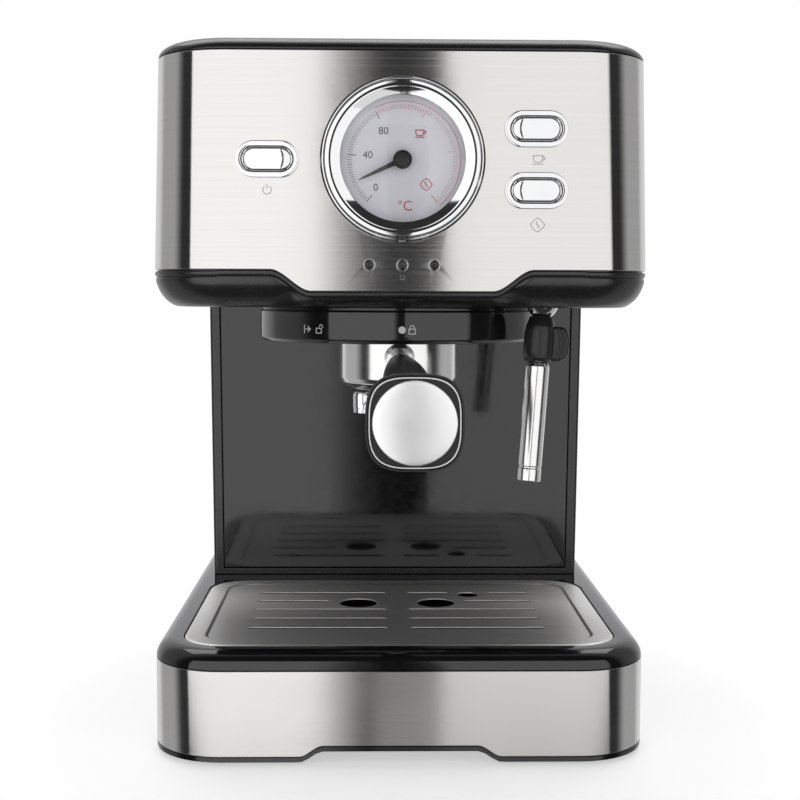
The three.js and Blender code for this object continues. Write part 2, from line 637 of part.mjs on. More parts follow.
// A ring of points on a rounded square in the XZ plane, anticlockwise seen from the front.
function squircle(x, y, z, halfX, halfZ, square, count) {
  return Array.from({ length: count }, (_, i) => {
    const turn = (i / count) * 2 * Math.PI;
    const c = Math.cos(turn);
    const s = Math.sin(turn);
    const px = Math.sign(c) * Math.abs(c) ** (2 / square) * halfX;
    const pz = Math.sign(s) * Math.abs(s) ** (2 / square) * halfZ;
    return new THREE.Vector3(x + px, y, z + pz);
  });
}

function makePortafilter() {
  const rim = 188;
  const shoulder = [[22, BODY_LOW], [27.4, BODY_LOW + 3], [BODY_RADIUS, BODY_LOW + 4.5], [BODY_RADIUS, rim]];
  const cup = [[5, BODY_LOW], ...shoulder, [CUP_BORE, rim], [CUP_BORE, CUP_FLOOR], [5, CUP_FLOOR]];
  let body = turned(cup, 0, GROUP_Y, 28);
  for (const turn of [0, 180]) {
    body = body.add(alongZ(sector(turn, EAR_HALF_ANGLE, 27, EAR.reach), EAR.low, EAR.high, 2));
  }
  const inCup = cylinder(0, GROUP_Y, 158, 190, CUP_BORE, 28);
  const neck = bar([[0, 56, 171.4], [0.2, 36, 170.2], [0.4, HANDLE.back - 14, 167.2]], 4.6, 4, 10);
  body = body.add(neck.subtract(inCup));
  place('portafilter_body', body, chrome);

  const hub = [[2.6, 147], [8, 147], [8, BODY_LOW - GAP], [2.6, BODY_LOW - GAP]];
  let spout = turned(hub, 0, GROUP_Y, 16);
  spout = spout.add(alongX(disc(GROUP_Y, SPOUT_Z, 3.3), -NOZZLE_X, NOZZLE_X, 5));
  for (const side of [-1, 1]) {
    const nozzle = [[0, NOZZLE_LOW], [4.4, NOZZLE_LOW], [5, 154.4], [0, 154.4]];
    spout = spout.add(turned(nozzle, side * NOZZLE_X, GROUP_Y, 16));
  }
  for (const side of [-1, 1]) spout = spout.subtract(cylinder(side * NOZZLE_X, GROUP_Y, 140, 152, 3, 10));
  spout = spout.subtract(alongX(disc(GROUP_Y, SPOUT_Z, 2), -NOZZLE_X, NOZZLE_X, 4));
  place('portafilter_spout', spout, chrome);

  const lip = rim + GAP;
  const outside = [[0, 160.4], [24.4, 160.4], [25.3, 161.4], [25.3, lip], [29.4, lip], [29.4, lip + 1]];
  const inside = [[24.6, lip + 1], [24.6, 161.4], [0, 161.4]];
  place('filter_basket', turned([...outside, ...inside], 0, GROUP_Y, 24), brushedSteel);

  const { front, back } = HANDLE;
  const places = [back, 8, -6, HANDLE_MIDDLE.y, -50, -66, -78, front];
  const rings = places.map((y) => {
    const { x, z, half, square } = gripAt(y);
    return squircle(x, y, z, half, half * 0.99, square, 20);
  });
  const bore = bar([[0.2, 40, 170.5], [0.4, 16, 168.5], [0.4, -3, 166.4]], 5.2, 3, 10);
  const end = gripAt(front);
  const block = (half, nearY, farY) =>
    loft([farY, nearY].map((y) => squircle(end.x, y, end.z, half, half, end.square, 20)));
  const pocket = block(16.8, front - 1, front + 1.2);
  place('handle_grip', loft(rings).subtract(bore).subtract(pocket), blackPlastic);

  const ring = block(16.5, front - 0.4, front + 0.7).subtract(block(15.8, front - 3, front + 3));
  place('handle_ring', ring, chrome);
  const cap = [[0, 84.4], [15.2, 84.4], [15.2, 85.2], [13, 86], [8, 86.7], [0, 87]];
  place('handle_cap', turnedToFront(cap, end.x, end.z, 28), brushedSteel);
}

// ---------- steam side ----------
function makeSteam() {
  const { x, y, z, radius } = BALL;
  const ball = new THREE.SphereGeometry(radius, 16, 10).rotateX(Math.PI / 2).translate(x, y, z);
  place('wand_ball', solid(ball), chrome);

  const top = new THREE.Vector3(x, y, z);
  const foot = new THREE.Vector3(WAND_FOOT.x, WAND_FOOT.y, WAND_FOOT.z);
  const down = foot.clone().sub(top);
  const length = down.length();
  down.normalize();
  const at = (reach) => top.clone().addScaledVector(down, reach);
  // Pieces on the wand's axis are turned upright first; heights are minus the reach from the ball.
  const tilt = new THREE.Quaternion().setFromUnitVectors(new THREE.Vector3(0, 0, -1), down);
  const onWand = (geometry) => solid(geometry.applyQuaternion(tilt).translate(x, y, z));

  const boot = [[0, -25.6], [5.9, -25.6], [6.8, -23], [6.8, -13], [6.2, -9], [5, -5], [0, -5]];
  let boss = onWand(latheUpright(boot, 14));
  const tabCorners = [[4, -25.4], [9.4, -25], [12.6, -21.5], [13, -14.5], [10.4, -9.8], [4, -9.8]];
  const tab = new THREE.Shape(tabCorners.map(([u, v]) => new THREE.Vector2(u, v)));
  const tabGeometry = new THREE.ExtrudeGeometry(tab, { depth: 7, bevelEnabled: false }).translate(0, 0, -3.5);
  boss = boss.add(onWand(tabGeometry.rotateX(Math.PI / 2)));
  const socket = new THREE.SphereGeometry(radius + GAP, 16, 10).rotateX(Math.PI / 2).translate(x, y, z);
  boss = boss.subtract(solid(socket)).subtract(bar([at(-2).toArray(), at(45).toArray()], 3.3, 1, 10));
  place('wand_grip', boss, rubber);

  const sleeveTop = length - SLEEVE_LENGTH;
  const tube = [[0, -length + 8], [2.8, -length + 8], [2.8, -9.5], [0, -9.5]];
  place('wand_tube', onWand(latheUpright(tube, 10)), chrome);
  const bore = SLEEVE_RADIUS - 1;
  const barrel = [[bore, -length], [SLEEVE_RADIUS, -length], [SLEEVE_RADIUS, -sleeveTop - 2.2]];
  const neck = [[bore, -sleeveTop], [3.2, -sleeveTop], [3.2, -sleeveTop - 4], [bore, -sleeveTop - 5]];
  place('wand_sleeve', onWand(latheUpright([...barrel, ...neck], 14)), chrome);

  const { end, seat, radius: shaft } = SPINDLE;
  const valveBore = shaft + GAP;
  const valve = [[0, VALVE.inner], [9, VALVE.inner], [9, VALVE.outer], [valveBore, VALVE.outer]];
  place('steam_valve', turnedToRight([...valve, [valveBore, seat], [0, seat]], KNOB.y, KNOB.z), brass);
  const spindle = [[0, seat + GAP], [shaft, seat + GAP], [shaft, end], [0, end]];
  place('valve_spindle', turnedToRight(spindle, KNOB.y, KNOB.z, 12), brass);
  const { inner, outer } = KNOB;
  const grip = [[KNOB.radius, inner], [KNOB.radius, outer - 4], [15.5, outer], [0, outer]];
  const knob = [[valveBore, inner], ...grip, [0, end + GAP], [valveBore, end + GAP]];
  let knobSolid = turnedToRight(knob, KNOB.y, KNOB.z, 24);
  for (let i = 0; i < 9; i += 1) {
    const turn = (i / 9) * 2 * Math.PI;
    const reach = KNOB.radius + 2.6;
    const flute = disc(KNOB.y + reach * Math.cos(turn), KNOB.z + reach * Math.sin(turn), 4.2);
    knobSolid = knobSolid.subtract(alongX(flute, inner + 3, outer + 1, 2));
  }
  place('steam_knob', knobSolid, blackPlastic);

  const fromBoiler = [[0, GROUP_Y, 261.4], [0, 84, 273], [22, 112, 280], [62, 146, 278]];
  const intoValve = [[83, KNOB.y, 270], [83, KNOB.y, 264.4]];
  place('steam_pipe', bar([...fromBoiler, ...intoValve], 2.6, 16), chrome);
  const fromValve = [[68.6, KNOB.y, 252], [60, KNOB.y - 4, 250], [58, 125, 235], [60, 70, 222]];
  const intoWand = [[BALL.x, 36, 214], [BALL.x, BALL.y, 205]];
  place('wand_pipe', bar([...fromValve, ...intoWand], 2.6, 16), chrome);
}

// ---------- water side ----------
function makeTank() {
  const { halfWidth, front, back, low, high } = TANK;
  const outline = (inset) =>
    plan(halfWidth - inset, front + inset, back - inset, TANK_FRONT_RADIUS - inset, TANK_RADIUS - inset);
  let tank = alongZ(outline(0), low, high).subtract(alongZ(outline(WALL), low + WALL, high + 5));
  tank = tank.subtract(cylinder(TANK_PORT.x, TANK_PORT.y, 40, 60, 8.6, 14));
  // Hinge lugs for the tank's lid, at the rear.
  const hinge = (radius) => disc(back - 1, high + 1.5, radius);
  for (const side of [-1, 1]) {
    tank = tank.add(alongX(hinge(KNUCKLE), side * 34 - 3, side * 34 + 3, 6));
  }
  tank = tank.subtract(alongX(hinge(1.6), -60, 60, 5));
  tank = tank.subtract(alongX(hinge(KNUCKLE + 0.5), -30.6, 30.6, 6));
  place('water_tank', tank, smokedPlastic);

  let lid = alongZ(outline(0), high + GAP, TANK_LID_TOP);
  lid = lid.subtract(alongZ(outline(3), high, TANK_LID_TOP - 2.4));
  lid = lid.subtract(alongX(hinge(KNUCKLE + 1.2), -50, 50, 8));
  // Room along the whole rear edge for the lid to swing past the tank's rim.
  lid = lid.subtract(alongX(hinge(2.2), -halfWidth, halfWidth, 6));
  let barrel = alongX(hinge(KNUCKLE), -30, 30, 8);
  barrel = barrel.add(alongX(rectangle(back - 8, high + 2.2, back - 1, high + 4.7), -30, 30));
  const pins = alongX(hinge(1.3), -37, 37, 4);
  place('tank_lid', lid.add(barrel).add(pins), blackPlastic);

  const { x, y } = TANK_PORT;
  const stem = [[0, 38], [6, 38], [6, 44], [8.3, 46], [8.3, 52.1]];
  const cap = [[10.5, 52.1], [10.5, 56], [6, 58], [0, 58]];
  place('tank_valve', turned([...stem, ...cap], x, y, 14), blackPlastic);
  const socket = [[0, 28], [11, 28], [11, 48.6], [9, 48.6], [9, 34], [0, 34]];
  const port = bar([[x - 8, y, 31.5], [x - 18, y, 31.5]], 3.4, 1, 10);
  place('tank_socket', turned(socket, x, y, 18).add(port), blackPlastic);

  const { inlet, low: pumpLow, high: pumpHigh, outlet, radius } = PUMP;
  const lowerEnd = [[0, inlet], [5, inlet], [5, pumpLow], [radius, pumpLow]];
  const upperEnd = [[radius, pumpHigh], [5, pumpHigh], [5, outlet], [0, outlet]];
  place('pump', turned([...lowerEnd, ...upperEnd], PUMP.x, PUMP.y), blackPlastic);
  const underTank = [[x - 18.8, y, 31.5], [-28, y, 30], [-38, 238, 27], [-40, 215, 25], [-40, 196, 32]];
  const toPump = [[PUMP.x, PUMP.y, 50], [PUMP.x, PUMP.y, inlet - 0.4]];
  place('suction_hose', bar([...underTank, ...toPump], 3.6, 16), siliconeHose);
  const fromPump = [[PUMP.x, PUMP.y, outlet + 0.4], [PUMP.x, PUMP.y, 205]];
  const toBoiler = [[-40, 180, 232], [-34, 150, 244], [-12, 124, 243], [-10, 119, 243]];
  place('pressure_hose', bar([...fromPump, ...toBoiler], 2.6, 16), siliconeHose);
}

makeBase();
makeTray();
makeColumn();
makeHead();
makeGauge();
makeControls();
makeGroup();
makePortafilter();
makeSteam();
makeTank();

// The part's origin is the middle of the whole machine's box, on the surface it stands on.
const machineBox = new THREE.Box3().setFromObject(machine);
const middle = machineBox.getCenter(new THREE.Vector3());
machine.position.set(-middle.x, -middle.y, -machineBox.min.z);

const espressoMachine = new THREE.Group();
espressoMachine.add(machine);

export default espressoMachine;
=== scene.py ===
from math import copysign, cos, pi, radians, sin, sqrt, tan

import bmesh
import bpy
from mathutils import Matrix, Vector
from mathutils.geometry import delaunay_2d_cdt


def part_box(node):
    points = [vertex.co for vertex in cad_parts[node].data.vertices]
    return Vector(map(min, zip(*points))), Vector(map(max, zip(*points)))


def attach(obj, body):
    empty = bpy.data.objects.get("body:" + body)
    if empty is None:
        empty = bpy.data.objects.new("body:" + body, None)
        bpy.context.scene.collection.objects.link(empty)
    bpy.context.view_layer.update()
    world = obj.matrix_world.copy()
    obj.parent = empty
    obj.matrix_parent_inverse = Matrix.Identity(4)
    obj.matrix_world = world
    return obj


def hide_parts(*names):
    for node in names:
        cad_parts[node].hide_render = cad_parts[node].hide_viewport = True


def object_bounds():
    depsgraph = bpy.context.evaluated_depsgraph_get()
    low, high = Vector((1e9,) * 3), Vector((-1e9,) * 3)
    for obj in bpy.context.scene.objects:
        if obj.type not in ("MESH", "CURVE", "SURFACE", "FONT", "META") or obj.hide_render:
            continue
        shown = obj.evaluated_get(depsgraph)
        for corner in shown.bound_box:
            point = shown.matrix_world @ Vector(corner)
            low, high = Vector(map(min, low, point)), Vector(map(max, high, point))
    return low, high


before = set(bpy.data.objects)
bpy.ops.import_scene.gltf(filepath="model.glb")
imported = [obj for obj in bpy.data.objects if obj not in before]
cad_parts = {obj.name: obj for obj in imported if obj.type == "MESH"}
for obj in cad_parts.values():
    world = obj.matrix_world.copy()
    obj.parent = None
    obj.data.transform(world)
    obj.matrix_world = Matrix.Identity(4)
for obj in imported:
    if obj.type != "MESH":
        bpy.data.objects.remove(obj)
CAD_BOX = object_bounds()

# ---------------------------------------------------------------------------
# The design frame: millimetres, x = 0 in the middle, y = 0 on the front plane
# of the base, z = 0 on the floor. Everything below is written in it.
# ---------------------------------------------------------------------------
MM = 0.001
BAND_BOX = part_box("base_band")
ORIGIN = Vector(((BAND_BOX[0].x + BAND_BOX[1].x) / 2, BAND_BOX[0].y, CAD_BOX[0].z))


def metres(p):
    return ORIGIN + Vector(p) * MM


def span(node):
    """Lowest and highest corner of a CAD node in the design frame."""
    low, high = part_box(node)
    return (low - ORIGIN) / MM, (high - ORIGIN) / MM


def middle(node):
    low, high = span(node)
    return (low + high) / 2


GAP = 0.3  # between neighbouring mouldings
BASE = {"half": 107.5, "back": 284.0, "front_radius": 31.0, "rear_radius": 18.0, "top": 49.3}
BAND_FOOT = 4.0  # height of the housing's edge below the steel band
RIM_RADIUS = 8.0
PLATE_LOW, PLATE_HIGH = span("drip_plate")
PLATE_CORNER = 19.5
HEAD_LOW, HEAD_SEAM, HEAD_TOP, HEAD_BACK = 194.6, 210.0, 299.3, 212.0
HEAD_HALF, HEAD_TOP_HALF = 106.6, 104.2
HEAD_RADIUS, HEAD_REAR = 32.4, 19.0
HEAD_FLAT = 74.2
FASCIA_END = 200.0  # how far back the fascia reaches along the sides
DECK_INSET = 15.3
GROUP_Y = middle("group_shroud").y
GAUGE_Z = middle("gauge_bezel").z
TONGUE_LOW, TONGUE_HALF, TONGUE_FOOT = 201.4, 37.7, 54.7
BUTTONS = {name: middle(name + "_button") for name in ("power", "coffee", "steam")}
BUTTON_HOLE = (11.8, 6.3)
GAUGE_HOLE = 30.8
LAMP_HOLE = 2.2
KNOB_Y, KNOB_Z = 155.0, 255.0
KNOB_HOLE = 4.5
WAND_BALL = Vector((62, 31, 196.5))
WAND_FOOT = Vector((55.8, 24, 119.2))
BALL_RADIUS = 7.0
POST_XS, POST_Z = (-66, 66), 284.0
FLOAT_X, FLOAT_Y = 36.0, 113.0
TANK_HALF, TANK_FRONT, TANK_BACK = 92.0, 213.0, 282.0
TANK_PORT_Y = 248.0
PUMP_X, PUMP_Y = -40.0, 187.5
LAMP_Z = 212.2
LAMP_XS = (-13.6, 0.0, 13.2)


# ---------------------------------------------------------------------------
# Flat shapes
# ---------------------------------------------------------------------------
def arc(cx, cy, radius, start, end, count=12):
    return [
        Vector((cx + radius * cos(radians(start + (end - start) * i / count)),
                cy + radius * sin(radians(start + (end - start) * i / count))))
        for i in range(count + 1)
    ]


def plan(half, front, back, front_radius, rear_radius, xs=(), ys=(), count=12):
    """Outline in plan, anticlockwise from the left front corner, with extra points on its straight runs."""
    fr, rr = max(front_radius, 0.05), max(rear_radius, 0.05)
    points = arc(-half + fr, front + fr, fr, 180, 270, count)
    points += [Vector((x, front)) for x in xs]
    points += arc(half - fr, front + fr, fr, 270, 360, count)
    points += [Vector((half, y)) for y in ys]
    points += arc(half - rr, back - rr, rr, 0, 90, count)
    points += arc(-half + rr, back - rr, rr, 90, 180, count)
    points += [Vector((-half, y)) for y in reversed(ys)]
    return points


def stadium(x, y, half_length, half_height, count=14):
    reach = half_length - half_height
    return arc(x + reach, y, half_height, -90, 90, count) + arc(x - reach, y, half_height, 90, 270, count)


def circle(x, y, radius, count=48):
    return [Vector((x + radius * cos(2 * pi * i / count), y + radius * sin(2 * pi * i / count)))
            for i in range(count)]


def squircle(cx, cz, half_x, half_z, square, count=64):
    points = []
    for i in range(count):
        c, s = cos(2 * pi * i / count), sin(2 * pi * i / count)
        points.append(Vector((cx + copysign(abs(c) ** (2 / square), c) * half_x,
                              cz + copysign(abs(s) ** (2 / square), s) * half_z)))
    return points


def fillet(points, radius=0.4, steps=4, closed=True):
    """The polyline with its corners rounded; a point may carry its own radius as a third number."""
    out = []
    count = len(points)
    for i, point in enumerate(points):
        here = Vector(point[:2])
        own = point[2] if len(point) > 2 else radius
        if own <= 0 or here.x < 1e-6 or (not closed and i in (0, count - 1)):
            out.append(here)
            continue
        a = Vector(points[i - 1][:2]) - here
        b = Vector(points[(i + 1) % count][:2]) - here
        if a.length < 1e-6 or b.length < 1e-6:
            out.append(here)
            continue
        angle = a.angle(b)
        if angle > radians(172):
            out.append(here)
            continue
        back = min(own / tan(angle / 2), 0.46 * a.length, 0.46 * b.length)
        r = back * tan(angle / 2)
        a.normalize()
        b.normalize()
        centre = here + (a + b).normalized() * (r / sin(angle / 2))
        v0, v1 = here + a * back - centre, here + b * back - centre
        turn = v0.angle(v1)
        for k in range(steps + 1):
            f = k / steps
            out.append(centre + (v0 * sin((1 - f) * turn) + v1 * sin(f * turn)) / sin(turn))
    return out


def offset(loop, distance):
    """The loop moved to its left by a distance."""
    out = []
    count = len(loop)
    for i in range(count):
        e0 = (loop[i] - loop[i - 1]).normalized()
        e1 = (loop[(i + 1) % count] - loop[i]).normalized()
        n0, n1 = Vector((-e0.y, e0.x)), Vector((-e1.y, e1.x))
        out.append(loop[i] + (n0 + n1) * (distance / max(0.3, 1 + n0.dot(n1))))
    return out


def area(loop):
    return sum(a.x * b.y - b.x * a.y for a, b in zip(loop, loop[1:] + loop[:1])) / 2


def smooth(t):
    t = min(1.0, max(0.0, t))
    return t * t * (3 - 2 * t)


# ---------------------------------------------------------------------------
# Solids: each returns (vertices, faces) in the design frame
# ---------------------------------------------------------------------------
def loft(rings, loop=False):
    count, rows = len(rings[0]), len(rings)
    verts = [tuple(p) for ring in rings for p in ring]
    faces = []
    for r in range(rows if loop else rows - 1):
        s = (r + 1) % rows
        for i in range(count):
            j = (i + 1) % count
            faces.append((r * count + i, r * count + j, s * count + j, s * count + i))
    if not loop:
        faces.append(tuple(reversed(range(count))))
        faces.append(tuple((rows - 1) * count + i for i in range(count)))
    return verts, faces


def lathe(profile, place, count=96):
    """A solid turned from [radius, height] points. place(x, y, height) gives a point in the design frame."""
    rings = [
        [place(r * cos(2 * pi * i / count), r * sin(2 * pi * i / count), h) for i in range(count)]
        for r, h in profile
    ]
    return loft(rings, loop=True)


def half_circle(radius):
    """A ball's profile, from its lowest point to its highest."""
    turns = [radians(a) for a in range(6, 180, 6)]
    return [(0, -radius)] + [(radius * sin(t), -radius * cos(t)) for t in turns] + [(0, radius)]


def cylinder(radius, low, high, place, count=96):
    return lathe([(0, low), (radius, low), (radius, high), (0, high)], place, count)


def upright(x, y):
    return lambda a, b, h: (x + a, y + b, h)


def facing(x, z):
    """An axis towards the user: heights count to the front."""
    return lambda a, b, h: (x + a, -h, z + b)


def sideways(y, z):
    return lambda a, b, h: (h, y + a, z + b)


def slab(outline, profile, place):
    """A solid on an outline(inset), with [inset, height] profile points from one flat end to the other."""
    return loft([[place(p.x, p.y, h) for p in outline(inset)] for inset, h in profile])


def flat(a, b, h):
    return (a, b, h)


def front(a, b, h):
    return (a, -h, b)


def joined(*parts):
    verts, faces = [], []
    for v, f in parts:
        base = len(verts)
        verts += v
        faces += [tuple(base + i for i in face) for face in f]
    return verts, faces


def box(low, high):
    (a, b, c), (d, e, f) = low, high
    ring = lambda z: [(a, b, z), (d, b, z), (d, e, z), (a, e, z)]
    return loft([ring(c), ring(f)])


def inside(point, loops):
    odd = False
    for loop in loops:
        previous = loop[-1]
        for current in loop:
            if (current.y > point.y) != (previous.y > point.y):
                slope = (previous.x - current.x) / (previous.y - current.y)
                if point.x < slope * (point.y - current.y) + current.x:
                    odd = not odd
            previous = current
    return odd


def sheet(outer, holes, thick, warp, edge=0.25, ties=(), creases=(), steps=3):
    """A thin plate with rounded edges and holes. warp(u, v, depth) puts it in the design frame."""
    loops = [outer if area(outer) > 0 else outer[::-1]]
    loops += [hole if area(hole) < 0 else hole[::-1] for hole in holes]
    verts, faces = [], []

    def add(point, depth):
        verts.append(tuple(warp(point.x, point.y, depth)))
        return len(verts) - 1

    coords, edges, tops, bottoms, flats = [], [], [], [], []
    quarter = [radians(90 * k / steps) for k in range(steps + 1)]
    for loop in loops:
        levels = [(edge * (1 - cos(t)), edge * (1 - sin(t))) for t in reversed(quarter)]
        levels += [(edge * (1 - cos(t)), thick - edge * (1 - sin(t))) for t in quarter]
        rings = [[add(p, depth) for p in offset(loop, inset)] for inset, depth in levels]
        for upper, lower in zip(rings, rings[1:]):
            for i in range(len(loop)):
                j = (i + 1) % len(loop)
                faces.append((upper[i], lower[i], lower[j], upper[j]))
        base = len(coords)
        rim = offset(loop, edge)
        coords += rim
        edges += [(base + i, base + (i + 1) % len(rim)) for i in range(len(rim))]
        tops += rings[0]
        bottoms += rings[-1]
        flats.append(rim)
    edges += list(ties)
    for crease in creases:
        base = len(coords)
        coords += crease
        edges += [(base + i, base + (i + 1) % len(crease)) for i in range(len(crease))]
        tops += [add(p, 0) for p in crease]
        bottoms += [add(p, thick) for p in crease]
    points, _, triangles, origins, _, _ = delaunay_2d_cdt(coords, edges, [], 0, 1e-6)
    index = []
    for j, origin in enumerate(origins):
        if origin:
            index.append((tops[origin[0]], bottoms[origin[0]]))
        else:
            index.append((add(points[j], 0), add(points[j], thick)))
    for triangle in triangles:
        middle = sum((points[i] for i in triangle), Vector((0, 0))) / 3
        if inside(middle, flats):
            faces.append(tuple(index[i][0] for i in triangle))
            faces.append(tuple(index[i][1] for i in reversed(triangle)))
    return verts, faces


def tube(points, radii, count=24, steps=8):
    """A round bar on a smooth curve through the points, with its radius at each point."""
    path, sizes = [], []
    n = len(points)
    if not hasattr(radii, "__len__"):
        radii = [radii] * n
    for i in range(n - 1):
        p0 = Vector(points[max(i - 1, 0)])
        p1, p2 = Vector(points[i]), Vector(points[i + 1])
        p3 = Vector(points[min(i + 2, n - 1)])
        for k in range(steps + (i == n - 2)):
            t = k / steps
            path.append(0.5 * (2 * p1 + (p2 - p0) * t + (2 * p0 - 5 * p1 + 4 * p2 - p3) * t ** 2
                               + (3 * p1 - p0 - 3 * p2 + p3) * t ** 3))
            sizes.append(radii[i] + (radii[i + 1] - radii[i]) * t)
    rings = []
    side = None
    for i, point in enumerate(path):
        along = (path[min(i + 1, len(path) - 1)] - path[max(i - 1, 0)]).normalized()
        if side is None:
            side = along.orthogonal().normalized()
        side = (side - along * side.dot(along)).normalized()
        other = along.cross(side)
        rings.append([
            point + (side * cos(2 * pi * j / count) + other * sin(2 * pi * j / count)) * sizes[i]
            for j in range(count)
        ])
    return loft(rings)


def wrap(s, inset, half, radius, reach):
    """A place along an outline's front and sides: s counts from the middle of the front."""
    side, a = copysign(1, s), abs(s)
    start, quarter = half - radius, radius * pi / 2
    if a <= reach - 10:
        return side * a, inset
    if a <= reach:
        return side * (reach - 10 + (a - reach + 10) / 10 * (start - reach + 10)), inset
    if a <= reach + quarter:
        t = (a - reach) / radius
        return side * (start + (radius - inset) * sin(t)), radius - (radius - inset) * cos(t)
    return side * (half - inset), radius + a - reach - quarter


# ---------------------------------------------------------------------------
# Making Blender objects
# ---------------------------------------------------------------------------
MATERIALS = {}


def tool(verts, faces):
    """A plain object, for cutting."""
    mesh = bpy.data.meshes.new("tool")
    mesh.from_pydata([metres(v) for v in verts], [], faces)
    clean(mesh)
    obj = bpy.data.objects.new("tool", mesh)
    bpy.context.scene.collection.objects.link(obj)
    return obj


def clean(mesh):
    bm = bmesh.new()
    bm.from_mesh(mesh)
    bmesh.ops.remove_doubles(bm, verts=bm.verts, dist=2e-7)
    bmesh.ops.dissolve_degenerate(bm, dist=1e-8, edges=bm.edges)
    bmesh.ops.recalc_face_normals(bm, faces=bm.faces)
    bm.to_mesh(mesh)
    bm.free()
    mesh.update()


def combine(obj, others, operation):
    for other in others:
        modifier = obj.modifiers.new("cut", "BOOLEAN")
        modifier.operation = operation
        modifier.solver = "MANIFOLD"
        modifier.object = other
    bpy.context.view_layer.update()
    evaluated = obj.evaluated_get(bpy.context.evaluated_depsgraph_get())
    mesh = bpy.data.meshes.new_from_object(evaluated)
    obj.modifiers.clear()
    obj.data = mesh
    for other in others:
        bpy.data.objects.remove(other)


def piece(name, shape, material, body="machine", replaces=(), cut=(), add=(), bevel=0.0, angle=35,
          weighted=False):
    obj = tool(*shape)
    if add:
        combine(obj, [tool(*extra) for extra in add], "UNION")
    if cut:
        combine(obj, [tool(*extra) for extra in cut], "DIFFERENCE")
    if not obj.data.polygons:
        raise RuntimeError(f"{name} came out empty")
    if bevel:
        modifier = obj.modifiers.new("edges", "BEVEL")
        modifier.width = bevel * MM
        modifier.segments = 3
        modifier.limit_method = "ANGLE"
        modifier.angle_limit = radians(angle)
        modifier.use_clamp_overlap = True
        modifier.miter_outer = "MITER_ARC"
        bpy.context.view_layer.update()
        mesh = bpy.data.meshes.new_from_object(obj.evaluated_get(bpy.context.evaluated_depsgraph_get()))
        obj.modifiers.clear()
        obj.data = mesh
    obj.name = name
    obj.data.name = name
    obj.data.shade_smooth()
    obj.data.set_sharp_from_angle(angle=radians(angle))
    if bevel or weighted:
        obj.modifiers.new("normals", "WEIGHTED_NORMAL").keep_sharp = True
    finish = MATERIALS[material]
    obj.data.materials.clear()
    obj.data.materials.append(finish["material"])
    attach(obj, body)
    if replaces:
        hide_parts(*([replaces] if isinstance(replaces, str) else replaces))
    return obj


# ---------------------------------------------------------------------------
# Materials
# ---------------------------------------------------------------------------
class Nodes:
    """A material's node tree round one Principled shader."""

    def __init__(self, name, slot):
        self.material = bpy.data.materials.new(name)
        self.material.use_nodes = True
        self.tree = self.material.node_tree
        self.tree.nodes.clear()
        self.output = self.tree.nodes.new("ShaderNodeOutputMaterial")
        self.shader = self.tree.nodes.new("ShaderNodeBsdfPrincipled")
        self.link(self.shader.outputs[0], self.output.inputs["Surface"])
        MATERIALS[name] = {"material": self.material, "slot": slot}
        self.place = self.tree.nodes.new("ShaderNodeTexCoord").outputs["Object"]

    def link(self, source, target):
        self.tree.links.new(source, target)

    def noise(self, scale, detail=2.0, rough=0.5, seed=0.0):
        """A noise value; scale is per metre, one number or one for each axis."""
        scales = scale if hasattr(scale, "__len__") else (scale,) * 3
        mapping = self.tree.nodes.new("ShaderNodeMapping")
        mapping.inputs["Scale"].default_value = scales
        mapping.inputs["Location"].default_value = (seed, seed * 1.7, seed * 0.6)
        self.link(self.place, mapping.inputs["Vector"])
        texture = self.tree.nodes.new("ShaderNodeTexNoise")
        texture.inputs["Scale"].default_value = 1.0
        texture.inputs["Detail"].default_value = detail
        texture.inputs["Roughness"].default_value = rough
        self.link(mapping.outputs[0], texture.inputs["Vector"])
        return texture.outputs[0]

    def spread(self, value, low, high, start=0.3, end=0.7):
        node = self.tree.nodes.new("ShaderNodeMapRange")
        node.inputs["From Min"].default_value = start
        node.inputs["From Max"].default_value = end
        node.inputs["To Min"].default_value = low
        node.inputs["To Max"].default_value = high
        self.link(value, node.inputs["Value"])
        return node.outputs[0]

    def combine(self, a, b, operation="ADD"):
        node = self.tree.nodes.new("ShaderNodeMath")
        node.operation = operation
        self.link(a, node.inputs[0])
        if hasattr(b, "is_output"):
            self.link(b, node.inputs[1])
        else:
            node.inputs[1].default_value = b
        return node.outputs[0]

    def tint(self, value, dark, light):
        node = self.tree.nodes.new("ShaderNodeMix")
        node.data_type = "RGBA"
        self.link(value, node.inputs["Factor"])
        for socket in node.inputs:
            if socket.type == "RGBA":
                socket.default_value = (*(dark if socket.name == "A" else light), 1)
        for socket in node.outputs:
            if socket.type == "RGBA":
                self.link(socket, self.shader.inputs["Base Color"])

    def bump(self, height, strength, distance):
        node = self.tree.nodes.new("ShaderNodeBump")
        node.inputs["Strength"].default_value = strength
        node.inputs["Distance"].default_value = distance
        self.link(height, node.inputs["Height"])
        self.link(node.outputs[0], self.shader.inputs["Normal"])

    def set(self, **values):
        for name, value in values.items():
            self.shader.inputs[name.replace("_", " ")].default_value = value


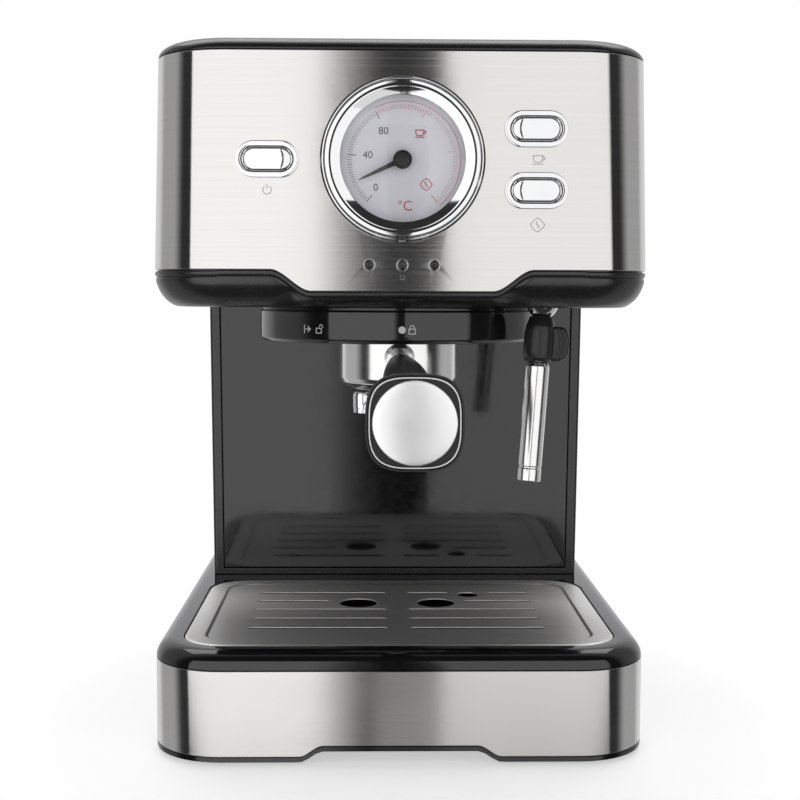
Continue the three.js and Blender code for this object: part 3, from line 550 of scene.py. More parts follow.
def brushed(name, slot, streaks, tone=(0.70, 0.69, 0.67), low=0.2, high=0.3, axis="Z", rotation=0.25,
            anisotropic=0.9):
    """Steel sheet with fine lines; streaks is the noise scale along each axis, per metre."""
    n = Nodes(name, slot)
    lines = n.noise(streaks, detail=3.0, rough=0.6)
    coarse = n.noise(tuple(s * 0.22 for s in streaks), detail=2.0, seed=3.1)
    smudge = n.noise(14.0, detail=3.0, seed=8.0)
    both = n.combine(lines, coarse)
    shade = n.spread(both, 0.0, 1.0, 0.75, 1.25)
    n.tint(shade, tuple(c * 0.975 for c in tone), tuple(min(1, c * 1.02) for c in tone))
    rough = n.combine(n.spread(both, low, high, 0.75, 1.25), n.spread(smudge, -0.015, 0.02))
    n.link(rough, n.shader.inputs["Roughness"])
    n.bump(lines, 0.03, 0.00001)
    n.set(Metallic=1.0, Anisotropic=anisotropic, Anisotropic_Rotation=rotation)
    tangent = n.tree.nodes.new("ShaderNodeTangent")
    tangent.direction_type = "RADIAL"
    tangent.axis = axis
    n.link(tangent.outputs[0], n.shader.inputs["Tangent"])
    return n


def polished(name, slot, tone, low, high):
    """Chrome or other polished metal, with faint wiping marks."""
    n = Nodes(name, slot)
    smudge = n.noise(45.0, detail=4.0, rough=0.6)
    fine = n.noise(900.0, detail=2.0, seed=2.0)
    n.tint(n.spread(smudge, 0.0, 1.0), tuple(c * 0.96 for c in tone), tone)
    n.link(n.spread(smudge, low, high), n.shader.inputs["Roughness"])
    n.bump(fine, 0.03, 0.00001)
    n.set(Metallic=1.0)
    return n


def moulded(name, slot, dark, light, low, high, grain, depth, strength=0.25, ior=1.5):
    """Moulded plastic or rubber: a fine grain, slow colour changes and handling marks."""
    n = Nodes(name, slot)
    slow = n.noise(18.0, detail=3.0)
    fine = n.noise(grain, detail=3.0, rough=0.65, seed=5.0)
    marks = n.noise(70.0, detail=5.0, rough=0.7, seed=9.0)
    n.tint(n.spread(n.combine(slow, fine), 0.0, 1.0, 0.7, 1.3), dark, light)
    rough = n.combine(n.spread(fine, low, high), n.spread(marks, -0.03, 0.04))
    n.link(rough, n.shader.inputs["Roughness"])
    n.bump(fine, strength, depth)
    n.set(IOR=ior)
    return n


def clear(name, slot, tone, low, high):
    """Clear plastic or glass that lets lamp light through to what is behind it."""
    n = Nodes(name, slot)
    wipe = n.noise(60.0, detail=3.0)
    n.tint(n.spread(wipe, 0.0, 1.0), tuple(c * 0.97 for c in tone), tone)
    n.link(n.spread(wipe, low, high), n.shader.inputs["Roughness"])
    n.set(Transmission_Weight=1.0, IOR=1.46)
    path = n.tree.nodes.new("ShaderNodeLightPath")
    through = n.tree.nodes.new("ShaderNodeBsdfTransparent")
    through.inputs[0].default_value = (*tone, 1)
    mix = n.tree.nodes.new("ShaderNodeMixShader")
    n.link(path.outputs["Is Shadow Ray"], mix.inputs[0])
    n.link(n.shader.outputs[0], mix.inputs[1])
    n.link(through.outputs[0], mix.inputs[2])
    n.link(mix.outputs[0], n.output.inputs["Surface"])
    return n


STEEL = (0.735, 0.725, 0.705)
brushed("fascia_steel", "brushed_steel", (5.0, 5.0, 4200.0), STEEL, 0.125, 0.165, anisotropic=0.95)
brushed("plate_steel", "brushed_steel", (7.0, 2600.0, 7.0), (0.86, 0.85, 0.83), 0.38, 0.48, "Z", 0.0, 0.4)
brushed("turned_steel", "brushed_steel", (900.0, 900.0, 900.0), (0.62, 0.62, 0.61), 0.22, 0.34)
polished("chrome", "chrome", (0.86, 0.865, 0.87), 0.03, 0.09)
polished("satin_tube", "chrome", (0.90, 0.895, 0.88), 0.14, 0.2)
polished("satin_disc", "brushed_steel", (0.95, 0.95, 0.95), 0.28, 0.34)
polished("cast_aluminium", "aluminium", (0.55, 0.56, 0.57), 0.35, 0.5)
polished("brass", "brass", (0.60, 0.43, 0.18), 0.25, 0.4)
moulded("black_plastic", "black_plastic", (0.010, 0.010, 0.0105), (0.014, 0.014, 0.0145), 0.30, 0.42, 2400.0,
        0.00004)
moulded("satin_black", "black_plastic", (0.007, 0.007, 0.0075), (0.010, 0.010, 0.0105), 0.20, 0.28, 900.0,
        0.00001, 0.08, 1.65)
moulded("gloss_black", "gloss_plastic", (0.0045, 0.0045, 0.005), (0.0065, 0.0065, 0.007), 0.05, 0.09, 260.0,
        0.00002, 0.04, 1.65)
moulded("rubber", "rubber", (0.011, 0.011, 0.011), (0.017, 0.017, 0.0165), 0.55, 0.7, 3200.0, 0.00005)
moulded("soft_grip", "rubber", (0.009, 0.009, 0.009), (0.013, 0.013, 0.013), 0.26, 0.36, 1800.0, 0.00002,
        0.15)
moulded("dial_card", "dial_face", (0.80, 0.785, 0.85), (0.84, 0.825, 0.885), 0.5, 0.6, 2000.0, 0.00001)
moulded("needle_black", "needle_black", (0.006, 0.006, 0.007), (0.010, 0.010, 0.011), 0.3, 0.4, 1500.0,
        0.00001)
moulded("print_black", "needle_black", (0.020, 0.020, 0.025), (0.032, 0.032, 0.038), 0.5, 0.6, 3000.0,
        0.00001)
moulded("print_red", "dial_face", (0.55, 0.05, 0.09), (0.62, 0.08, 0.12), 0.5, 0.6, 3000.0, 0.00001)
moulded("print_pink", "dial_face", (0.70, 0.36, 0.42), (0.74, 0.42, 0.47), 0.5, 0.6, 3000.0, 0.00001)
moulded("print_grey", "black_plastic", (0.16, 0.155, 0.15), (0.21, 0.205, 0.2), 0.5, 0.6, 3000.0, 0.00001)
moulded("print_white", "dial_face", (0.42, 0.42, 0.42), (0.50, 0.50, 0.50), 0.5, 0.6, 3000.0, 0.00001)
moulded("red_plastic", "red_plastic", (0.36, 0.02, 0.018), (0.46, 0.03, 0.025), 0.3, 0.42, 1500.0, 0.00002)
moulded("silicone", "silicone", (0.60, 0.60, 0.56), (0.68, 0.68, 0.64), 0.45, 0.6, 1500.0, 0.00003)
moulded("circuit_board", "circuit_board", (0.012, 0.06, 0.028), (0.02, 0.085, 0.04), 0.35, 0.5, 1200.0,
        0.00003)
clear("clear_glass", "clear_glass", (0.98, 0.985, 0.99), 0.0, 0.02)
clear("lamp_clear", "lamp_clear", (0.85, 0.86, 0.86), 0.08, 0.16)
clear("smoked", "smoked_plastic", (0.40, 0.41, 0.43), 0.04, 0.1)


# ---------------------------------------------------------------------------
# Base
# ---------------------------------------------------------------------------
ARCH_RISE, ARCH_FLAT, ARCH_FOOT = 4.7, 33.0, 43.0
BASE_XS = [x for x in range(-72, 73, 3)]
BAND_END = 262.0


def arch(x):
    return ARCH_RISE * smooth((ARCH_FOOT - abs(x)) / (ARCH_FOOT - ARCH_FLAT))


def base_ring(inset, z, lifted=False, rear_inset=None, ys=(60, 110, 160, 210, BAND_END, BAND_END + 0.3)):
    half, back = BASE["half"], BASE["back"]
    points = plan(half - inset, inset, back - inset, BASE["front_radius"] - inset,
                  BASE["rear_radius"] - inset,
                  BASE_XS, ys)
    outer = points
    if rear_inset is not None:
        outer = plan(half - rear_inset, rear_inset, back - rear_inset, BASE["front_radius"] - rear_inset,
                     BASE["rear_radius"] - rear_inset, BASE_XS, ys)
    ring = []
    for p, q in zip(points, outer):
        use = q if p.y > BAND_END + 0.1 else p
        ring.append((use.x, use.y, z + (arch(use.x) if lifted and use.y < 20 else 0)))
    return ring


def inner_ring(half, front_y, back_y, radius, z, lifted=False):
    xs = [x * (half - radius) / 76.5 for x in BASE_XS]
    ys = [front_y + radius + (back_y - front_y - 2 * radius) * t for t in (0.15, 0.3, 0.45, 0.6, 0.75, 0.9)]
    points = plan(half, front_y, back_y, radius, radius, xs, ys)
    return [(p.x, p.y, z + (arch(p.x) if lifted and p.y < 24 else 0)) for p in points]


def make_base():
    rings = [
        inner_ring(101, 26, 277, 12, 4.4), inner_ring(101, 26, 277, 12, 2.2),
        inner_ring(101.4, 25.6, 277.4, 12, 2.0),
        inner_ring(103, 22.3, 279, 13, 2.0), inner_ring(103, 22.0, 279.2, 13, 2.0, True),
    ]
    rings += [base_ring(i, z, True)
              for i, z in fillet([(2, 2.0), (0, 2.0), (0, 4.0), (0.6, 4.0)], 0.5, closed=False)]
    rings += [base_ring(1.3, BAND_FOOT, True, 0.0)]
    rings += [base_ring(1.3, z, False, 0.0) for z in (11.0, 41.5)]
    rim = [(1.2, 41.5), (0.35, 41.5), (0.05, 41.75)]
    rim_low = BASE["top"] - RIM_RADIUS
    for a in (8, 18, 28, 38, 48, 58, 68, 78, 90):
        rim.append((RIM_RADIUS * (1 - cos(radians(a))), rim_low + RIM_RADIUS * sin(radians(a))))
    rings += [base_ring(i, z, False, min(i, 0.0) if i > 1 and z < 42 else None) for i, z in rim]
    for grow, z in ((1.2, BASE["top"]), (0.6, BASE["top"] - 0.15), (0.35, BASE["top"] - 0.6), (GAP, 45.2)):
        rings.append(inner_ring(PLATE_HIGH.x + grow, PLATE_LOW.y - grow, PLATE_HIGH.y + grow,
                                PLATE_CORNER + grow, z))
    rings += [inner_ring(91.4, 16.3, 141.2, 8.3, 45.2), inner_ring(91.1, 16.6, 140.9, 8, 44.9)]
    rings += [inner_ring(91.1, 16.6, 140.9, 8, 13), inner_ring(90.2, 17.5, 140.0, 7, 12.05)]
    piece("base_housing_fine", loft(rings), "gloss_black", replaces="base_housing", angle=32, weighted=True)

    half, radius = BASE["half"], BASE["front_radius"]
    flat_reach, quarter = half - radius, radius * pi / 2
    end = flat_reach + quarter + BAND_END - radius
    turns = [flat_reach + quarter * i / 22 for i in range(23)] + [end - (end - flat_reach - quarter) * t
                                                                  for t in (0.66, 0.33)]
    beside_left, beside_right = [-43 + i for i in range(11)], [33 + i for i in range(11)]
    fronts = [-72, -60, -46] + beside_left + [-20, 0, 20] + beside_right + [46, 60, 72]
    us = [-end] + [-t for t in reversed(turns)] + fronts + turns + [end]
    low, high = (corner.z / MM - ORIGIN.z / MM for corner in BAND_BOX)
    bottom = [Vector((u, low + arch(u))) for u in us]
    top = [Vector((u, high)) for u in reversed(us)]
    ties = [(i, 2 * len(us) - 1 - i) for i in range(1, len(us) - 1)]
    band = sheet(bottom + top, [], 1.0, lambda u, v, d: (*wrap(u, d, half, radius, flat_reach), v), 0.22,
                 ties)
    piece("base_band_fine", band, "fascia_steel", replaces="base_band", weighted=True)

    plate = slab(lambda i: plan(100.7 - i, 26.3 + i, 276.7 - i, 11.7, 11.7),
                 fillet([(0, 2.2), (0, 4.2)], 0, closed=False), flat)
    feet = {name: middle(name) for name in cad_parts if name.startswith("foot_")}
    holes = [cylinder(4.4, 0, 8, upright(f.x, f.y), 32) for f in feet.values()]
    vents = [slab(lambda inset, x=x, y=y: stadium(x, y, 14, 1.4), [(0, 0), (0, 8)], flat)
             for x in (-45, 0, 45) for y in (190, 200, 210, 220)]
    piece("base_plate_fine", plate, "black_plastic", replaces="base_plate", cut=holes + vents, bevel=0.25)
    for name, f in feet.items():
        foot = fillet([(0, 0), (7.6, 0), (7.9, 0.35), (8.6, 0.35), (9.2, 0), (10, 0.6), (10, 1.9), (4.1, 1.9),
                       (4.1, 7.5), (0, 7.5)], 0.3)
        piece(name + "_fine", lathe(foot, upright(f.x, f.y), 64), "rubber", replaces=name)

    gland = [(2.4, -287.5), (3.6, -288), (5.2, -287.4), (5.6, -285), (5.0, -284.4), (5.6, -283.8),
             (5.9, -281.2),
             (5.3, -280.6), (5.9, -280), (6.3, -277.4), (5.7, -276.8), (6.4, -276.2), (7, -274.5),
             (7, -272.5),
             (5.5, -266), (2.4, -266)]
    piece("cord_gland_fine", lathe(fillet(gland, 0.3), facing(70, 24), 48), "rubber", replaces="cord_gland")


# ---------------------------------------------------------------------------
# Drip tray, plate and float
# ---------------------------------------------------------------------------
SLOT_ROWS = [
    (45, ((-68.8, -5.5), (5.5, 66.8))),
    (63, ((-68.8, -5.5), (5.5, 66.8))),
    (81, ((-68.8, -5.5), (5.5, 66.8))),
    (99, ((-68.8, -33.5), (33.5, 66.8))),
    (117, ((-68.8, -5.5), (5.4, 26.0), (47.0, 66.8))),
]
PRESS_DEPTH = 0.6


def make_tray():
    half, f, b = PLATE_HIGH.x, PLATE_LOW.y, PLATE_HIGH.y
    rings = []
    outside = [(5.6, 12.3), (4.9, 12.7), (4.6, 13.6), (4.6, 45.2), (4.4, 45.5), (0.3, 45.5), (0, 45.8),
               (0, 47.0),
               (0.3, 47.3), (6.4, 47.3), (6.8, 47.0), (6.8, 17.5), (7.6, 15.2), (9.6, 14.5)]
    for inset, z in outside:
        corner = PLATE_CORNER - inset
        rings.append([(p.x, p.y, z) for p in plan(half - inset, f + inset, b - inset, corner, corner)])
    piece("drip_tray_fine", loft(rings), "black_plastic", "drip_tray", replaces="drip_tray", weighted=True)

    def pressed(u, v):
        """Depth of the plate's sunk middle at a place on it."""
        radius = PLATE_CORNER
        dx = max(abs(u) - (half - radius), 0)
        dy = max(abs(v - (f + b) / 2) - ((b - f) / 2 - radius), 0)
        straight = min(half - abs(u), (b - f) / 2 - abs(v - (f + b) / 2))
        edge = radius - sqrt(dx * dx + dy * dy) if dx and dy else straight
        lip = 0.5 * (1 - smooth((edge - 0.2) / 0.9)) - 0.35
        return PRESS_DEPTH * smooth((edge - 8.6) / 1.7) + lip

    top = PLATE_HIGH.z

    def plate_point(u, v, d):
        return (u, v, top - d - pressed(u, v))

    holes = [stadium((left + right) / 2, y, (right - left) / 2, 1.5, 8) for y, runs in SLOT_ROWS
             for left, right in runs]
    holes += [circle(x, 95, 9.2, 64) for x in (-19, 19)] + [circle(FLOAT_X, FLOAT_Y, 5.3, 48)]
    rims = [0.25, 0.5, 0.75, 1.1, 8.6, 9.0, 9.45, 9.9, 10.3]
    creases = [plan(half - i, f + i, b - i, PLATE_CORNER - i, PLATE_CORNER - i, count=18) for i in rims]
    outer = plan(half, f, b, PLATE_CORNER, PLATE_CORNER, count=24)
    plate = sheet(outer, holes, 0.8, plate_point, 0.3, creases=creases)
    piece("drip_plate_fine", plate, "plate_steel", "drip_plate", replaces="drip_plate", angle=40,
          weighted=True)

    low = span("tray_float")[0].z
    stem = [(0, low, 0), (9, low), (9, low + 3), (8.2, low + 3.6), (8.2, 25.2), (7.4, 26.2), (4.2, 28),
            (4.2, 44.2), (3, 45.5), (0, 45.5, 0)]
    piece("tray_float_fine", lathe(fillet(stem, 0.5), upright(FLOAT_X, FLOAT_Y), 56), "red_plastic",
          "tray_float", replaces="tray_float")


# ---------------------------------------------------------------------------
# Column
# ---------------------------------------------------------------------------
COLUMN_LOW, COLUMN_HIGH = 49.4, 194.3


def column_front(z):
    return 159.8 - (z - 49.6) * (159.8 - 155.8) / (194.3 - 49.6)


def column_block(inset, low, high, front_at, back_at, corner=0.0):
    rings = []
    for z in (low, high):
        half = 97.4 + (z - 49.6) / (194.3 - 49.6) - inset
        y0, y1 = front_at(z), back_at(z)
        if corner:
            ring = arc(-half + corner, y0 + corner, corner, 180, 270, 6)
            ring += arc(half - corner, y0 + corner, corner, 270, 360, 6)
            ring += [Vector((half, y1)), Vector((-half, y1))]
        else:
            ring = [Vector((-half, y0)), Vector((half, y0)), Vector((half, y1)), Vector((-half, y1))]
        rings.append([(p.x, p.y, z) for p in ring])
    return loft(rings)


def make_column():
    shell = column_block(0, COLUMN_LOW, COLUMN_HIGH, column_front, lambda height: 209.3, 1.8)
    recess = column_block(5.3, 52.7, 200, lambda z: column_front(z) - 5, lambda z: column_front(z) + 2.5)
    hollow = box((-91, 166, 30), (91, 230, 210))
    piece("column_shell_fine", shell, "satin_black", replaces="column_shell", cut=[recess, hollow],
          bevel=0.35)
    panel = column_block(5.6, 53, COLUMN_HIGH, column_front, lambda z: column_front(z) + 2.2)
    piece("column_panel_fine", panel, "gloss_black", replaces="column_panel", bevel=0.5)
    half = 97.4
    outline = [Vector((-half, COLUMN_LOW + 0.2)), Vector((half, COLUMN_LOW + 0.2)),
               Vector((half + 1, COLUMN_HIGH)), Vector((-half - 1, COLUMN_HIGH))]
    vents = [stadium(x, z, 22, 2.0, 8) for x in (-52, 0, 52) for z in (80, 90, 100, 110, 120, 130)]
    screws = [circle(x, z, 2.6, 24) for x in (-86, 86) for z in (62, 182)]
    cover = sheet(outline, vents + screws, 2.4, lambda u, v, d: (u, 212 - d, v), 0.4)
    heads = [lathe(fillet([(0, -211.2, 0), (2.4, -211.2), (2.4, -209.7), (0, -209.7, 0)], 0.3), facing(x, z),
                   24)
             for x in (-86, 86) for z in (62, 182)]
    piece("rear_cover_fine", cover, "black_plastic", replaces="rear_cover", weighted=True)
    piece("rear_cover_screws", joined(*heads), "turned_steel")


# ---------------------------------------------------------------------------
# Head
# ---------------------------------------------------------------------------
def head_half(z):
    return HEAD_HALF - max(0.0, z - HEAD_SEAM) * (HEAD_HALF - HEAD_TOP_HALF) / (HEAD_TOP - HEAD_SEAM)


HEAD_XS = ([-70, -66, -62, -58] + [-55 + i for i in range(19)] + [-34, -28, -20, -10, 0, 10, 20, 28, 34]
           + [37 + i for i in range(19)] + [58, 62, 66, 70])
HEAD_YS = (60, 110, 160, 199.9, 200.4)


def head_ys(inset):
    """Where the sides' extra points lie: the last ones close to the rear corner."""
    if inset >= 10:
        return 60, 90, 120, 150, 170
    last = HEAD_BACK - max(HEAD_REAR, inset + 0.5)
    return tuple(min(y, last - 0.01 * (5 - k)) if y < 190 else y for k, y in enumerate(HEAD_YS))


def head_ring(inset, z, rear_inset=None):
    half = head_half(z)
    use = lambda i: plan(half - i, i, HEAD_BACK - i, HEAD_RADIUS - i, max(HEAD_REAR - i, 0.5), HEAD_XS,
                         head_ys(i))
    points = use(inset)
    outer = use(rear_inset) if rear_inset is not None else points
    return [Vector((*(q if p.y > 200.2 else p), z)) for p, q in zip(points, outer)]


def tongue_edge(x):
    """Height of the fascia's lower edge across the front."""
    seam = HEAD_SEAM + GAP
    return seam - (seam - TONGUE_LOW) * smooth((TONGUE_FOOT - abs(x)) / (TONGUE_FOOT - TONGUE_HALF))


SKIRT_BEAD = 2.3


def skirt_limit(p):
    """Height of the lower skirt's bead at a place on the head's outline, and whether that is on its front."""
    on_front = p.y < 25 and abs(p.x) < 75
    return (tongue_edge(p.x) if on_front else HEAD_SEAM) - GAP - SKIRT_BEAD, on_front


def make_head():
    rings = []
    # Lower skirt: [share of the height below the bead, inset].
    for share, inset in ((0, 16), (0, 11), (0.01, 9.6), (0.05, 8.0), (0.13, 6.3), (0.24, 4.6), (0.38, 3.1),
                         (0.54, 1.9),
                         (0.7, 1.0), (0.85, 0.45), (0.94, 0.5), (1.0, 0.9)):
        ring = []
        for p in head_ring(inset, HEAD_LOW):
            limit, on_front = skirt_limit(p)
            back = 7.0 * smooth((TONGUE_FOOT - 1 - abs(p.x)) / 12) * (1 - share * 0.75) if on_front else 0
            ring.append((p.x, p.y + back, HEAD_LOW + (limit - HEAD_LOW) * share))
        rings.append(ring)
    for rise, inset in ((0.15, 0.45), (0.5, 0.15), (1.1, 0.0), (1.7, 0.05), (2.1, 0.25), (2.3, 0.7)):
        ring = []
        for p in head_ring(inset, HEAD_LOW):
            ring.append((p.x, p.y, skirt_limit(p)[0] + rise))
        rings.append(ring)
    ring = []
    for p, low_point in zip(head_ring(1.3, HEAD_LOW, 0.0), rings[-1]):
        ring.append((p.x, p.y, low_point[2] + (0 if p.y < 200.2 else 0.05)))
    rings.append(ring)
    rings += [head_ring(1.3, z, 0.0) for z in (212, 298.8)]
    rings += [head_ring(2.0, 299.0, 0.4), head_ring(4.0, 299.0), head_ring(4.0, 206.0)]
    cut = [cylinder(GAUGE_HOLE, -12, 8, facing(0, GAUGE_Z), 96)]
    for spot in BUTTONS.values():
        cut.append(slab(lambda inset, s=spot: stadium(s.x, s.z, *BUTTON_HOLE), [(0, -12), (0, 8)], front))
    cut += [cylinder(LAMP_HOLE, -12, 8, facing(x, LAMP_Z), 32) for x in LAMP_XS]
    cut.append(cylinder(44.3, 190, 210, upright(0, GROUP_Y), 96))
    cut.append(cylinder(8.3, 190, 210, upright(WAND_BALL.x, WAND_BALL.y), 48))
    cut.append(box((-85, 172, 190), (85, 204, 210)))
    cut.append(cylinder(KNOB_HOLE, 90, 120, sideways(KNOB_Y, KNOB_Z), 32))
    posts = [cylinder(3, -26.7, -3.5, facing(x, POST_Z), 32) for x in POST_XS]
    piece("head_shell_fine", loft(rings), "satin_black", replaces="head_shell", cut=cut, add=posts, angle=38,
          weighted=True)

    quarter = HEAD_RADIUS * pi / 2
    end = HEAD_FLAT + quarter + FASCIA_END - HEAD_RADIUS
    turns = [HEAD_FLAT + quarter * i / 24 for i in range(25)] + [end - (end - HEAD_FLAT - quarter) * t
                                                                 for t in (0.66, 0.33)]
    slope = [TONGUE_HALF + (TONGUE_FOOT - TONGUE_HALF) * i / 18 for i in range(19)]
    fronts = [-64.2, -60] + [-x for x in reversed(slope)] + [-25, -12, 0, 12, 25] + slope + [60, 64.2]
    us = [-end] + [-t for t in reversed(turns)] + fronts + turns + [end]
    bottom = [Vector((u, tongue_edge(u) if abs(u) < 60 else HEAD_SEAM + GAP)) for u in us]
    top = [Vector((u, HEAD_TOP)) for u in reversed(us)]
    count = len(us)
    ties = [(i, 2 * count - 1 - i) for i in range(1, count - 1) if abs(us[i]) > 64]
    holes = [circle(0, GAUGE_Z, GAUGE_HOLE, 96)]
    holes += [stadium(s.x, s.z, *BUTTON_HOLE) for s in BUTTONS.values()]
    holes += [circle(x, LAMP_Z, LAMP_HOLE, 32) for x in LAMP_XS]
    knob_u = HEAD_FLAT + quarter + KNOB_Y - HEAD_RADIUS
    holes.append(circle(knob_u, KNOB_Z, KNOB_HOLE, 32))
    # The knob's hole sits between two of the tied lines.
    ties = [(a, b) for a, b in ties if abs(us[a] - knob_u) > 6]
    on_head = lambda u, v, d: (*wrap(u, d, head_half(v), HEAD_RADIUS, HEAD_FLAT), v)
    fascia = sheet(bottom + top, holes, 1.0, on_head, 0.25, ties)
    piece("fascia_fine", fascia, "fascia_steel", replaces="fascia", weighted=True)

    rings = []
    lid_low, lid_rise, lid_edge = 299.6, 6.1, 12
    lid_profile = [(5.0, 301.0), (5.0, 299.9), (4.4, lid_low), (0.5, lid_low), (0.12, 299.75)]
    for a in (6, 14, 23, 32, 42, 52, 62, 72, 81, 90):
        lid_profile.append((lid_edge * (1 - cos(radians(a))), lid_low + lid_rise * sin(radians(a))))
    lid_profile += [(14.2, 305.7), (14.75, 305.5), (15.0, 304.9), (15.0, 303.4)]
    for inset, z in lid_profile:
        rings.append(head_ring(inset, z))
    piece("top_lid_fine", loft(rings), "satin_black", replaces="top_lid", weighted=True)

    half, start, end = head_half(304) - DECK_INSET, DECK_INSET, HEAD_BACK - DECK_INSET
    corner, rear_corner = HEAD_RADIUS - DECK_INSET, HEAD_REAR - DECK_INSET
    outer = plan(half, start, end, corner, rear_corner, count=16)
    slots = [stadium(side * 38, 45 + row * 40, 28, 2.5, 10) for row in range(4) for side in (-1, 1)]
    rim = []
    for i in (0.6, 1.2):
        rim.append(plan(half - i, start + i, end - i, max(corner - i, 0.6), max(rear_corner - i, 0.4),
                        count=8))

    def deck_point(u, v, d):
        edge = min(half - abs(u), v - start, end - v)
        return (u, v, 304.6 - d + 0.3 * (1 - smooth(edge / 1.2)))

    deck = sheet(outer, slots, 0.8, deck_point, 0.3, creases=rim)
    piece("cup_deck_fine", deck, "plate_steel", replaces="cup_deck", weighted=True)


# ---------------------------------------------------------------------------
# Gauge, buttons, lamps and printed marks
# ---------------------------------------------------------------------------
def stroke(points, width, thick, place, closed=False):
    """A thin printed line: place(u, v, depth) puts it on its surface; depth 0 is the outer face."""
    pts = [Vector(p) for p in points]
    count = len(pts)
    left, right = [], []
    for i, p in enumerate(pts):
        before = pts[i - 1] if (i > 0 or closed) else None
        after = pts[(i + 1) % count] if (i < count - 1 or closed) else None
        d0 = (p - before).normalized() if before is not None else None
        d1 = (after - p).normalized() if after is not None else None
        d0 = d0 or d1
        d1 = d1 or d0
        n = Vector((-(d0 + d1).y, (d0 + d1).x)).normalized()
        w = width / 2 / max(0.5, n.dot(Vector((-d0.y, d0.x))))
        left.append(p + n * w)
        right.append(p - n * w)
    rings = [[place(*l, 0), place(*r, 0), place(*r, thick), place(*l, thick)] for l, r in zip(left, right)]
    return loft(rings, loop=closed)


def dot(u, v, radius, thick, place, count=32):
    return loft([[place(p.x, p.y, d) for p in circle(u, v, radius, count)] for d in (0, thick)])


def lettering(text, cx, cz, height, place_y, thick=0.04):
    """Generic numerals as a flat solid facing the user, centred on a point."""
    curve = bpy.data.curves.new("numerals", "FONT")
    curve.body = text
    curve.size = 1.0
    curve.align_x = "CENTER"
    curve.extrude = 0.5
    curve.resolution_u = 6
    obj = bpy.data.objects.new("numerals", curve)
    bpy.context.scene.collection.objects.link(obj)
    bpy.context.view_layer.update()
    mesh = bpy.data.meshes.new_from_object(obj.evaluated_get(bpy.context.evaluated_depsgraph_get()))
    bpy.data.objects.remove(obj)
    ys = [v.co.y for v in mesh.vertices]
    scale = height / (max(ys) - min(ys))
    middle = (max(ys) + min(ys)) / 2
    xs = [v.co.x for v in mesh.vertices]
    centre = (max(xs) + min(xs)) / 2
    verts = [(cx + (v.co.x - centre) * scale, place_y + (0.5 - v.co.z) * thick,
              cz + (v.co.y - middle) * scale)
             for v in mesh.vertices]
    faces = [tuple(p.vertices) for p in mesh.polygons]
    bpy.data.meshes.remove(mesh)
    return verts, faces


CUP_ICON = [[(-2.1, 1.5), (2.1, 1.5), (1.9, -0.6), (1.2, -1.3), (-1.2, -1.3), (-1.9, -0.6)],
            [(2.0, 1.1), (3.0, 0.9), (3.0, 0.0), (1.9, -0.4)], [(-2.4, -2.1), (2.4, -2.1)]]


def cup_icon(cx, cz, scale, width, thick, place):
    at = lambda line: [(cx + x * scale, cz + z * scale) for x, z in line]
    return [stroke(at(CUP_ICON[0]), width, thick, place, True), stroke(at(CUP_ICON[1]), width, thick, place),
            stroke(at(CUP_ICON[2]), width, thick, place)]


def steam_icon(cx, cz, size, width, thick, place):
    """A rounded diamond round one rising wave."""
    outline = []
    for i in range(32):
        c, s = cos(2 * pi * i / 32), sin(2 * pi * i / 32)
        k = size / (abs(c) ** 1.25 + abs(s) ** 1.25) ** (1 / 1.25)
        outline.append((cx + c * k, cz + s * k))
    wave = [(cx + 0.2 * size * sin(2 * pi * t / 12), cz - 0.45 * size + 0.9 * size * t / 12)
            for t in range(13)]
    return [stroke(outline, width, thick, place, True), stroke(wave, width, thick, place)]


